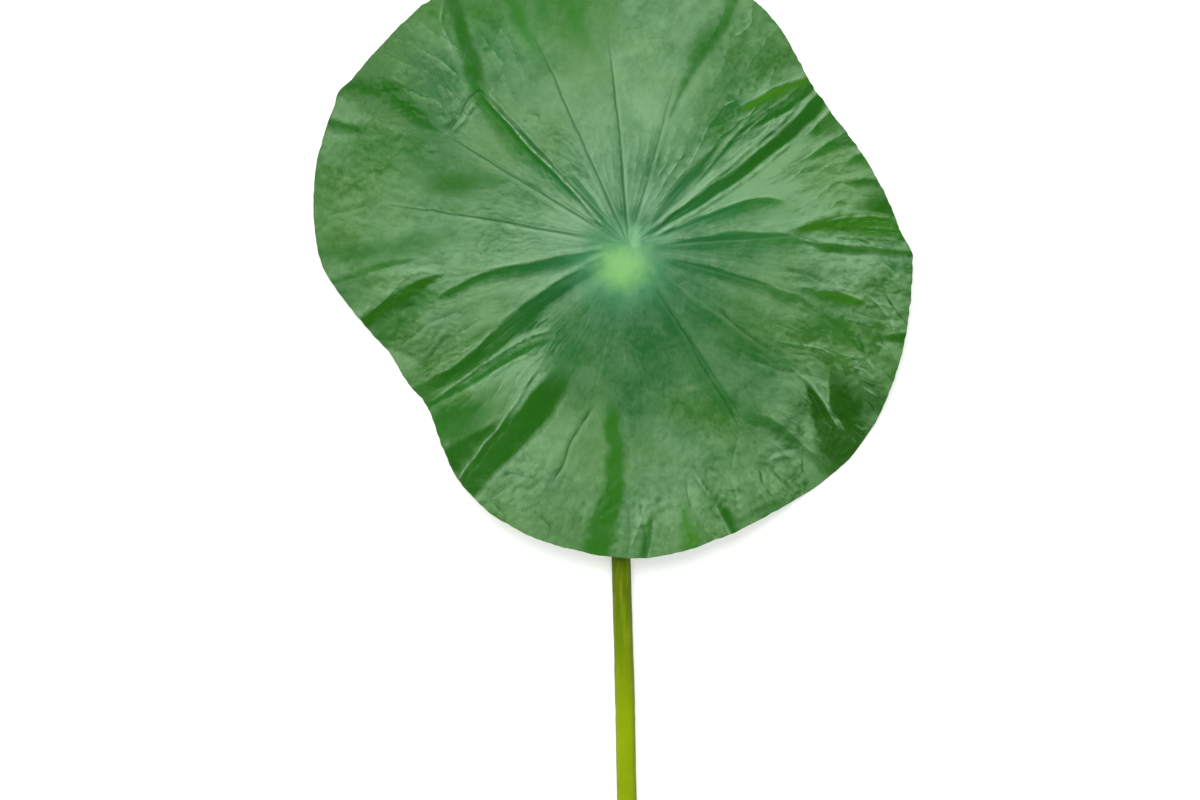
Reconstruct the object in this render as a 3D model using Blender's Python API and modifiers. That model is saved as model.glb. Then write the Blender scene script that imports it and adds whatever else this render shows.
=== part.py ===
"""A cut lotus leaf lying on a flat surface: the round blade, domed over the bend of its stalk, and the stalk.

The blade faces up (+Z) and the stalk leaves its middle from below, bends and lies along -Y. Its top face is a
height above the surface, worked out from three smooth levels and a list of folds. Its underside has raised ribs.
"""

import math

import bmesh
import bpy
import numpy as np

MM = 0.001

# The origin is on the surface, under the middle of the whole leaf. The hub is where the stalk meets the blade.
HUB_X = 0.0085
HUB_Y = 0.1243

# The blade's edge, seen from above: (bearing in degrees anticlockwise from +X, distance from the hub in mm).
RIM = [
    (0, 138.6), (8, 131.5), (20, 124.8), (30, 121.0), (40, 120.4), (46, 123.5), (60, 135.4), (75, 144.5),
    (90, 150.5), (105, 154.5), (120, 157.0), (135, 158.2), (152, 162.8), (165, 160.4), (180, 154.6),
    (188, 146.6), (196, 137.5), (204, 129.8), (212, 128.4), (218, 127.4), (224, 132.0), (234, 143.5),
    (245, 149.4), (262, 154.0), (274, 155.0), (290, 151.4), (300, 150.2), (315, 152.0), (324, 150.4),
    (336, 145.3), (350, 141.0),
]

# Height of the blade's top face in mm above the surface, by bearing, halfway out and at the edge. A height
# below zero at the edge is a lobe that is pressed flat on the surface.
HALFWAY_HEIGHT = [
    (0, 21.0), (33, 19.0), (60, 23.5), (90, 27.0), (120, 27.5), (150, 25.0), (180, 22.0), (210, 18.5),
    (235, 16.5), (252, 16.5), (270, 17.5), (288, 16.0), (305, 15.5), (330, 17.0),
]
EDGE_HEIGHT = [
    (0, 10.0), (18, 5.0), (31, -3.0), (46, 9.0), (62, 14.0), (78, 13.0), (94, 9.0), (114, -5.0), (131, 10.0),
    (150, 17.0), (168, 13.0), (186, 9.0), (200, 3.0), (212, -4.0), (228, 8.0), (246, 17.0), (264, 18.0),
    (280, 17.0), (296, 11.0), (315, -5.5), (332, 6.0), (348, 11.0),
]
HUB_HEIGHT = 37.4
HALFWAY = 0.55
DIMPLE_DEPTH = 3.0
DIMPLE_RADIUS = 14.0

# Folds run outwards. Each is (start distance, start bearing, end distance, end bearing, half width at the start,
# half width at the end, lift at the start, lift at the end), in mm and degrees. The blade steps up by about twice
# the lift across a fold, going anticlockwise, and down where the lift is negative.
FOLDS = [
    (14, 31.5, 122, 37.5, 1.4, 5.0, 0.7, 3.4),
    (14, 48.5, 56, 48.5, 1.3, 2.6, 0.6, 1.1),
    (88, 51.0, 126, 44.5, 2.0, 3.6, 0.9, 2.7),
    (95, 41.5, 124, 41.5, 2.2, 3.8, 0.8, 2.4),
    (20, 16.0, 74, 20.0, 2.0, 3.6, 0.8, 1.6),
    (22, 2.0, 76, 3.0, 3.0, 5.0, 0.9, 1.6),
    (84, 6.0, 140, 5.0, 3.2, 5.0, 1.2, 3.2),
    (98, 25.5, 126, 25.0, 1.8, 3.0, 0.6, 1.8),
    (98, 29.0, 124, 31.5, 2.2, 3.6, 0.8, 2.2),
    (88, 70.0, 144, 66.0, 2.2, 3.4, 0.8, 1.8),
    (30, 66.0, 50, 67.5, 1.6, 2.2, 0.3, 0.4),
    (30, 342.0, 88, 343.5, 2.2, 3.6, 0.8, 1.7),
    (90, 346.0, 124, 347.5, 1.8, 2.8, 0.8, 1.7),
    (34, 320.0, 98, 321.5, 3.4, 5.2, 1.0, 1.9),
    (24, 298.0, 104, 301.5, 3.4, 5.4, 1.1, 2.0),
    (112, 317.0, 156, 315.0, 4.2, 8.0, 2.0, 5.0),
    (118, 325.5, 154, 324.5, 4.0, 7.0, 1.8, 4.6),
    (82, 266.0, 158, 266.0, 3.2, 6.0, -0.8, -1.8),
    (130, 282.0, 156, 281.0, 2.2, 3.2, -0.6, -1.4),
    (124, 288.0, 154, 290.0, 2.2, 3.4, -0.6, -1.7),
    (70, 241.5, 150, 237.0, 4.6, 4.2, -2.2, -3.2),
    (98, 231.0, 146, 231.5, 3.6, 5.6, -1.3, -3.2),
    (33, 212.5, 132, 216.0, 3.2, 3.8, -1.5, -2.7),
    (65, 224.0, 96, 221.5, 2.6, 3.0, -1.0, -1.2),
    (22, 192.0, 68, 191.5, 1.7, 2.4, -0.7, -0.9),
    (92, 189.5, 140, 193.0, 3.2, 4.8, -1.3, -3.4),
    (66, 152.0, 104, 165.0, 4.0, 4.8, -0.8, -1.1),
    (108, 147.0, 166, 147.5, 2.4, 5.2, -0.7, -2.6),
    (34, 138.0, 98, 136.0, 3.0, 2.6, -0.9, -1.1),
    (103, 132.0, 162, 125.0, 2.8, 4.6, -1.3, -2.9),
    (142, 157.0, 166, 157.5, 3.0, 3.8, -0.6, -1.7),
    (108, 101.0, 156, 101.0, 4.0, 6.0, 0.9, 2.2),
    (98, 173.0, 156, 178.0, 1.8, 2.6, -0.6, -1.1),
]
FOLD_FADE = 12.0

# Veins: the bearing of each near the hub and at the edge. Each splits in two at the fork. Under each is a rib,
# and over it the top face sinks by a share of the rib's height.
VEINS = [
    (4.5, 3.5), (18.5, 22.0), (33.0, 33.5), (49.0, 50.0), (74.0, 74.5), (94.0, 96.0), (113.5, 114.0),
    (133.0, 134.0), (148.5, 149.0), (168.0, 171.0), (188.5, 191.0), (207.5, 209.0), (224.0, 224.0),
    (241.0, 240.5), (257.0, 256.0), (271.0, 271.0), (286.0, 286.0), (302.5, 304.5), (323.0, 325.0),
    (344.0, 346.0),
]
FORK = 0.62
FORK_SPREAD = 4.5

BLADE_THICKNESS = 0.8
RIB_HEIGHT = 2.4
RIB_HALF_WIDTH = 2.2
RIBS_END = 0.9
VEIN_SINK = 0.22

# The stalk. Its sway is (distance along -Y from the hub, offset along X) in mm.
STALK_RADIUS = 4.7
STALK_END_RADIUS = 5.3
COLLAR_RADIUS = 6.0
COLLAR_LENGTH = 6.0
STALK_BEND_RADIUS = 22.0
STALK_LIFT = 1.0
STALK_SWAY = [(0, 0.0), (40, -3.0), (80, -4.6), (153, -3.5), (227, -1.5), (277, -0.5), (340, 2.6), (410, 7.5)]
STALK_REACH = 400.0
STALK_SIDES_RESOLUTION = 4
STALK_SPACING = 14.0
GAP = 0.3

# The cut end of the stalk: a slanting cut, and air canals as (offset from the middle across, up, radius).
CUT_SLANT = 24.0
CANALS = [
    (-1.75, 1.15, 1.15), (1.75, 1.15, 1.15), (-1.35, -1.75, 0.85), (1.35, -1.75, 0.85), (0.0, 3.3, 0.55),
    (0.0, -0.35, 0.5),
]
CANAL_DEPTH = 9.0
CANAL_SIDES = 8

# The flat disc that the blade is shaped from: ring distances as a share of the way out, and where the spokes double.
RINGS = [
    0.045, 0.10, 0.16, 0.225, 0.29, 0.36, 0.43, 0.50, 0.56, 0.62, 0.68, 0.74, 0.79, 0.84, 0.88, 0.92, 0.96, 1.0
]
SPOKES_PER_VEIN = 8
MOST_SPOKES = SPOKES_PER_VEIN * len(VEINS)
DOUBLING_RINGS = (0.16, 0.36)

GREEN = (0.075, 0.235, 0.06, 1.0)
STALK_GREEN = (0.25, 0.36, 0.01, 1.0)


def clear_scene():
    for thing in list(bpy.data.objects):
        bpy.data.objects.remove(thing)


def smooth_round(table, bearing):
    """Smooth value at a bearing in degrees, from a table of (bearing, value) that closes on itself."""
    bearings = np.array([row[0] for row in table], float)
    values = np.array([row[1] for row in table], float)
    count = len(table)
    bearing = np.mod(bearing, 360.0)
    after = np.searchsorted(bearings, bearing, side="right")
    before = (after - 1) % count
    after = after % count
    gap = np.mod(bearings[after] - bearings[before], 360.0)
    share = np.mod(bearing - bearings[before], 360.0) / gap
    gap_before = np.mod(bearings[before] - bearings[(before - 1) % count], 360.0)
    gap_after = np.mod(bearings[(after + 1) % count] - bearings[after], 360.0)
    slope_before = (values[after] - values[(before - 1) % count]) / (gap + gap_before)
    slope_after = (values[(after + 1) % count] - values[before]) / (gap + gap_after)
    square = share * share
    cube = square * share
    return (
        (2 * cube - 3 * square + 1) * values[before]
        + (cube - 2 * square + share) * gap * slope_before
        + (3 * square - 2 * cube) * values[after]
        + (cube - square) * gap * slope_after
    )


def smoothstep(value, low, high):
    share = np.clip((value - low) / (high - low), 0.0, 1.0)
    return share * share * (3.0 - 2.0 * share)


def fold_height(fold, distance, bearing):
    """What one fold adds to the top face's height, in mm."""
    start, start_bearing, end, end_bearing, start_width, end_width, start_lift, end_lift = fold
    along = np.clip((distance - start) / (end - start), 0.0, 1.0)
    line = start_bearing + (end_bearing - start_bearing) * along
    width = start_width + (end_width - start_width) * along
    lift = start_lift + (end_lift - start_lift) * along
    across = distance * np.radians(np.mod(bearing - line + 180.0, 360.0) - 180.0) / width
    shape = across * np.exp(0.5 * (1.0 - across * across))
    begun = smoothstep(distance, start - FOLD_FADE, start + FOLD_FADE)
    ended = 1.0 - smoothstep(distance, end - FOLD_FADE / 2, end + FOLD_FADE)
    return lift * shape * begun * ended


def top_height(share, distance, bearing):
    """Height of the blade's top face in mm, at a share of the way out to the edge."""
    halfway = smooth_round(HALFWAY_HEIGHT, bearing)
    edge = smooth_round(EDGE_HEIGHT, bearing)
    inner = share / HALFWAY
    outer = (share - HALFWAY) / (1.0 - HALFWAY)
    slope = (edge - HUB_HEIGHT) * HALFWAY
    near = (
        (2 * inner**3 - 3 * inner**2 + 1) * HUB_HEIGHT
        + (3 * inner**2 - 2 * inner**3) * halfway
        + (inner**3 - inner**2) * slope
    )
    far_slope = slope * (1.0 - HALFWAY) / HALFWAY
    far = (
        (2 * outer**3 - 3 * outer**2 + 1) * halfway
        + (outer**3 - 2 * outer**2 + outer) * far_slope
        + (3 * outer**2 - 2 * outer**3) * edge
        + (outer**3 - outer**2) * (edge - halfway)
    )
    height = np.where(share < HALFWAY, near, far)
    height = height - DIMPLE_DEPTH * np.exp(-((distance / DIMPLE_RADIUS) ** 2))
    for fold in FOLDS:
        height = height + fold_height(fold, distance, bearing)
    return height


def rib_half_width(share):
    return RIB_HALF_WIDTH * (1.0 - 0.62 * share)


def rib_relief(share, across):
    """Height of a rib in mm, at a distance across from its middle line."""
    height = RIB_HEIGHT * (1.0 - share / RIBS_END) ** 1.2 if share < RIBS_END else 0.0
    return height * max(0.0, 1.0 - (across / rib_half_width(share)) ** 2)


def fork_offset(share):
    """How far, in degrees, each branch of a vein lies from the vein's own line."""
    return FORK_SPREAD * max(0.0, (share - FORK) / (1.0 - FORK)) ** 0.8


def spoke_place(share, turn):
    """Bearing in degrees and rib relief in mm of a disc point, whose turn counts veins and parts of a vein."""
    vein = math.floor(turn) % len(VEINS)
    part = turn - math.floor(turn)
    here = VEINS[vein][0] + (VEINS[vein][1] - VEINS[vein][0]) * share
    following = VEINS[(vein + 1) % len(VEINS)]
    there = following[0] + (following[1] - following[0]) * share
    sector = (there - here) % 360.0
    side = 2.0 * min(part, 1.0 - part)
    offset, relief = hug_rib(share, side, sector / 2.0)
    bearing = here + offset if part <= 0.5 else here + sector - offset
    return bearing, relief


def hug_rib(share, side, half_sector):
    """Places a spoke so that some run along each rib's crest and feet. side is 0 on the vein and 1 midway."""
    distance = max(share, RINGS[0]) * 145.0
    degrees = math.degrees(1.0 / distance)
    width = rib_half_width(share) * degrees
    if share < DOUBLING_RINGS[0]:
        return side * half_sector, rib_relief(share, side * half_sector / degrees)
    foot = 0.5 if share < DOUBLING_RINGS[1] else 0.25
    if share <= FORK:
        stops = ((0.0, 0.0), (foot, min(width, foot * half_sector)), (1.0, half_sector))
        crest = 0.0
    else:
        crest = fork_offset(share)
        stops = ((0.0, 0.0), (0.25, crest), (0.5, max(crest + width, 0.5 * half_sector)), (1.0, half_sector))
    offset = float(np.interp(side, [s[0] for s in stops], [s[1] for s in stops]))
    return offset, rib_relief(share, (offset - crest) / degrees)


def flat_disc():
    """A round disc of radius 1: rings of spokes that double in number as they go out."""
    shape = bmesh.new()
    bmesh.ops.create_circle(shape, cap_ends=True, cap_tris=True, segments=MOST_SPOKES // 4, radius=RINGS[0])
    for ring in RINGS[1:]:
        edges = [edge for edge in shape.edges if edge.is_boundary]
        if ring in DOUBLING_RINGS:
            bmesh.ops.subdivide_edges(shape, edges=edges, cuts=1)
            edges = [edge for edge in shape.edges if edge.is_boundary]
            for vert in {vert for edge in edges for vert in edge.verts}:
                vert.co = vert.co.normalized() * RINGS[RINGS.index(ring) - 1]
        grown = bmesh.ops.extrude_edge_only(shape, edges=edges)["geom"]
        for vert in (item for item in grown if isinstance(item, bmesh.types.BMVert)):
            vert.co = vert.co.normalized() * ring
    return shape


def make_blade():
    """The blade: the disc with each point moved to its place, and a wall that is thicker along the ribs."""
    shape = flat_disc()
    bmesh.ops.triangulate(shape, faces=shape.faces[:])
    bmesh.ops.recalc_face_normals(shape, faces=shape.faces[:])
    if sum(face.normal.z for face in shape.faces) < 0:
        bmesh.ops.reverse_faces(shape, faces=shape.faces[:])
    thickest = BLADE_THICKNESS + RIB_HEIGHT
    weights = []
    for vert in shape.verts:
        share = round(vert.co.xy.length, 4)
        turn = round(math.atan2(vert.co.y, vert.co.x) / math.tau * MOST_SPOKES) / SPOKES_PER_VEIN
        bearing, relief = spoke_place(share, turn)
        distance = share * float(smooth_round(RIM, bearing))
        height = float(top_height(share, distance, bearing)) - VEIN_SINK * relief
        height = max(height, BLADE_THICKNESS + relief)
        vert.co.x = distance * math.cos(math.radians(bearing)) * MM
        vert.co.y = distance * math.sin(math.radians(bearing)) * MM
        vert.co.z = height * MM
        weights.append((BLADE_THICKNESS + relief) / thickest)
    mesh = bpy.data.meshes.new("leaf_blade")
    shape.to_mesh(mesh)
    shape.free()
    blade = bpy.data.objects.new("leaf_blade", mesh)
    group = blade.vertex_groups.new(name="thickness")
    for index, weight in enumerate(weights):
        group.add([index], weight, "REPLACE")
    wall = blade.modifiers.new("wall", "SOLIDIFY")
    wall.thickness = thickest * MM
    wall.offset = -1.0
    wall.vertex_group = group.name
    wall.use_quality_normals = True
    mesh.shade_smooth()
    mesh.set_sharp_from_angle(angle=math.radians(75.0))
    return blade


def stalk_line():
    """Points along the stalk's middle line with the radius at each, in mm from the point under the hub."""
    top = HUB_HEIGHT - DIMPLE_DEPTH - BLADE_THICKNESS - (1.0 + VEIN_SINK) * RIB_HEIGHT - GAP
    bend_top = STALK_RADIUS + STALK_BEND_RADIUS
    points = [(0.0, 0.0, top, COLLAR_RADIUS), (0.0, 0.0, bend_top, STALK_RADIUS)]
    for step in range(1, 7):
        angle = math.radians(15.0 * step)
        back = STALK_BEND_RADIUS * (1.0 - math.cos(angle))
        height = bend_top - STALK_BEND_RADIUS * math.sin(angle)
        points.append((sway(back), -back, height, STALK_RADIUS))
    lying = STALK_REACH - STALK_BEND_RADIUS
    steps = round(lying / STALK_SPACING)
    for step in range(1, steps + 1):
        share = step / steps
        back = STALK_BEND_RADIUS + lying * share
        radius = STALK_RADIUS + (STALK_END_RADIUS - STALK_RADIUS) * share
        height = radius + STALK_LIFT * math.sin(math.pi * share)
        points.append((sway(back), -back, height, radius))
    return points


def sway(back):
    """The stalk's offset along X at a distance back from the hub, on a smooth line through its table."""
    for (x0, y0), (x1, y1), (x2, y2), (x3, y3) in zip(
        [STALK_SWAY[0]] + STALK_SWAY, STALK_SWAY, STALK_SWAY[1:], STALK_SWAY[2:] + [STALK_SWAY[-1]]
    ):
        if back <= x2 or x2 == STALK_SWAY[-1][0]:
            share = (back - x1) / (x2 - x1)
            slope1 = (y2 - y0) / max(x2 - x0, 1.0) * (x2 - x1)
            slope2 = (y3 - y1) / max(x3 - x1, 1.0) * (x2 - x1)
            return (
                (2 * share**3 - 3 * share**2 + 1) * y1
                + (share**3 - 2 * share**2 + share) * slope1
                + (3 * share**2 - 2 * share**3) * y2
                + (share**3 - share**2) * slope2
            )
    return 0.0


def make_stalk_body():
    """The stalk as a bevelled curve, turned into a mesh whose caps are welded."""
    points = stalk_line()
    curve = bpy.data.curves.new("stalk_line", "CURVE")
    curve.dimensions = "3D"
    curve.bevel_depth = 1.0
    curve.bevel_resolution = STALK_SIDES_RESOLUTION
    curve.use_fill_caps = True
    spline = curve.splines.new("POLY")
    spline.points.add(len(points) - 1)
    for spot, (x, y, z, radius) in zip(spline.points, points):
        spot.co = (x * MM, y * MM, z * MM, 1.0)
        spot.radius = radius * MM
    guide = bpy.data.objects.new("stalk_line", curve)
    bpy.context.scene.collection.objects.link(guide)
    bpy.context.view_layer.update()
    mesh = bpy.data.meshes.new_from_object(guide.evaluated_get(bpy.context.evaluated_depsgraph_get()))
    mesh.name = "leaf_stalk"
    shape = bmesh.new()
    shape.from_mesh(mesh)
    bmesh.ops.remove_doubles(shape, verts=shape.verts[:], dist=0.00001)
    shape.to_mesh(mesh)
    shape.free()
    bpy.data.objects.remove(guide)
    return bpy.data.objects.new("leaf_stalk", mesh)


def make_cutters(cutters):
    """The tool that slants the stalk's end, and one pin for each air canal."""
    end_x, end_y, end_z, _ = stalk_line()[-1]
    block = 30.0
    bpy.ops.mesh.primitive_cube_add(size=block * MM)
    slant = bpy.context.object
    slant.name = "end_cutter"
    turn = math.radians(CUT_SLANT)
    reach = block / 2.0
    inset = STALK_END_RADIUS * math.tan(turn)
    slant.location = (
        end_x * MM,
        (end_y + inset - reach * math.cos(turn)) * MM,
        (end_z + reach * math.sin(turn)) * MM,
    )
    slant.rotation_euler = (-turn, 0.0, 0.0)
    tools = [slant]
    for number, (across, up, radius) in enumerate(CANALS):
        bpy.ops.mesh.primitive_cylinder_add(
            vertices=CANAL_SIDES, radius=radius * MM, depth=2.0 * CANAL_DEPTH * MM, rotation=(math.pi / 2, 0.0, 0.0)
        )
        canal = bpy.context.object
        canal.name = f"canal_cutter_{number + 1}"
        middle = end_y + inset + up * math.tan(turn)
        canal.location = ((end_x + across) * MM, middle * MM, (end_z + up) * MM)
        tools.append(canal)
    for tool in tools:
        for owner in list(tool.users_collection):
            owner.objects.unlink(tool)
        cutters.objects.link(tool)
        tool.hide_render = True
        tool.display_type = "WIRE"
    return tools


def finish_stalk(stalk, cutters):
    """Cuts the stalk's end on the slant and opens its air canals."""
    cut = stalk.modifiers.new("cut_end", "BOOLEAN")
    cut.operation = "DIFFERENCE"
    cut.operand_type = "COLLECTION"
    cut.collection = cutters
    cut.solver = "EXACT"
    stalk.data.shade_smooth()
    stalk.data.set_sharp_from_angle(angle=math.radians(50.0))


def paint(thing, name, colour, roughness):
    material = bpy.data.materials.new(name)
    material.use_nodes = True
    shader = material.node_tree.nodes["Principled BSDF"]
    shader.inputs["Base Color"].default_value = colour
    shader.inputs["Roughness"].default_value = roughness
    shader.inputs["Metallic"].default_value = 0.0
    thing.data.materials.append(material)


def main():
    clear_scene()
    leaf = bpy.data.collections.new("lotus_leaf")
    cutters = bpy.data.collections.new("cutters")
    bpy.context.scene.collection.children.link(leaf)
    bpy.context.scene.collection.children.link(cutters)
    hub = bpy.data.objects.new("hub", None)
    hub.location = (HUB_X, HUB_Y, 0.0)
    leaf.objects.link(hub)
    blade = make_blade()
    stalk = make_stalk_body()
    for piece in (blade, stalk):
        leaf.objects.link(piece)
        piece.parent = hub
    for tool in make_cutters(cutters):
        tool.parent = hub
    finish_stalk(stalk, cutters)
    paint(blade, "waxy_leaf", GREEN, 0.42)
    paint(stalk, "green_stalk", STALK_GREEN, 0.5)


main()
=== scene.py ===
"""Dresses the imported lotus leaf: a finely folded blade and a finished stalk over its solids, on a plain stage."""

import functools
import math

import bpy
import numpy as np
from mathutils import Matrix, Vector


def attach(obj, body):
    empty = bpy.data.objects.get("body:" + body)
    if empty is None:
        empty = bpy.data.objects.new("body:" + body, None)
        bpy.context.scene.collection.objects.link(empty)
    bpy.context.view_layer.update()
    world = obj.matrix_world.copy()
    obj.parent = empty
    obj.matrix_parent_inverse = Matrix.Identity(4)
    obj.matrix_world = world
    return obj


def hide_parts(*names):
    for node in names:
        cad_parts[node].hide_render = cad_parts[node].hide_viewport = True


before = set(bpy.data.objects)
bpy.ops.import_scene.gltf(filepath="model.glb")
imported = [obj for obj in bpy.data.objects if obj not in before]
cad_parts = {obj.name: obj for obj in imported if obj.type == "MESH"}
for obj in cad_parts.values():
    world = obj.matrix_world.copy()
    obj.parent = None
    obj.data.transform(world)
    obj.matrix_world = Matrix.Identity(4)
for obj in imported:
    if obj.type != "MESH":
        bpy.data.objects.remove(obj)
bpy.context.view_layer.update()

bl_info = {
    "name": "Lotus leaf",
    "version": (1, 0, 0),
    "blender": (4, 5, 0),
    "location": "View3D > Sidebar > Lotus leaf",
    "description": "Models and colours a cut lotus leaf over its packed solids",
    "category": "Object",
}

MM = 0.001

# The hub, where the stalk meets the blade. All tables below are in mm from it, with +X right and +Y up the leaf.
HUB = Vector((0.0085, 0.1243, 0.0))

# The blade's edge, seen from above: (bearing in degrees anticlockwise from +X, distance from the hub).
RIM = [
    (3, 136.6), (8, 133.2), (20, 126.6), (30, 122.4), (40, 121.9), (46, 125.2), (60, 136.6), (75, 145.0), (90, 150.8),
    (105, 154.5), (120, 157.0), (135, 158.6), (143, 159.6), (149, 161.6), (152, 164.0), (155, 162.6), (165, 161.2),
    (180, 155.6), (184, 153.0), (188, 148.0), (196, 138.4), (204, 130.9), (212, 129.6), (218, 128.4), (224, 133.0),
    (234, 144.4), (245, 151.2), (262, 154.8), (274, 156.2), (290, 152.8), (300, 151.8), (315, 153.4), (324, 152.0),
    (336, 148.0), (350, 143.7), (356, 142.6), (358.5, 142.2),
]

# Height of the blade's face above the surface, by bearing, halfway out and at the edge. Below zero is a lobe
# pressed flat on the surface.
HALFWAY_HEIGHT = [
    (0, 21.0), (33, 19.0), (60, 23.5), (90, 27.0), (120, 27.5), (150, 25.0), (180, 22.0), (210, 18.5),
    (235, 16.5), (252, 16.5), (270, 17.5), (288, 16.0), (305, 15.5), (330, 17.0),
]
EDGE_HEIGHT = [
    (0, 10.0), (18, 5.0), (31, -3.0), (46, 9.0), (62, 14.0), (78, 13.0), (94, 9.0), (114, -5.0), (131, 10.0),
    (150, 17.0), (168, 13.0), (186, 9.0), (200, 3.0), (212, -4.0), (228, 8.0), (246, 17.0), (264, 18.0),
    (280, 17.0), (296, 11.0), (315, -5.5), (332, 6.0), (348, 11.0),
]
HUB_HEIGHT = 37.4
# The share of the way out to which the heights for halfway belong.
HALFWAY = 0.55
DIMPLE_DEPTH = 3.0
DIMPLE_RADIUS = 14.0

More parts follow.
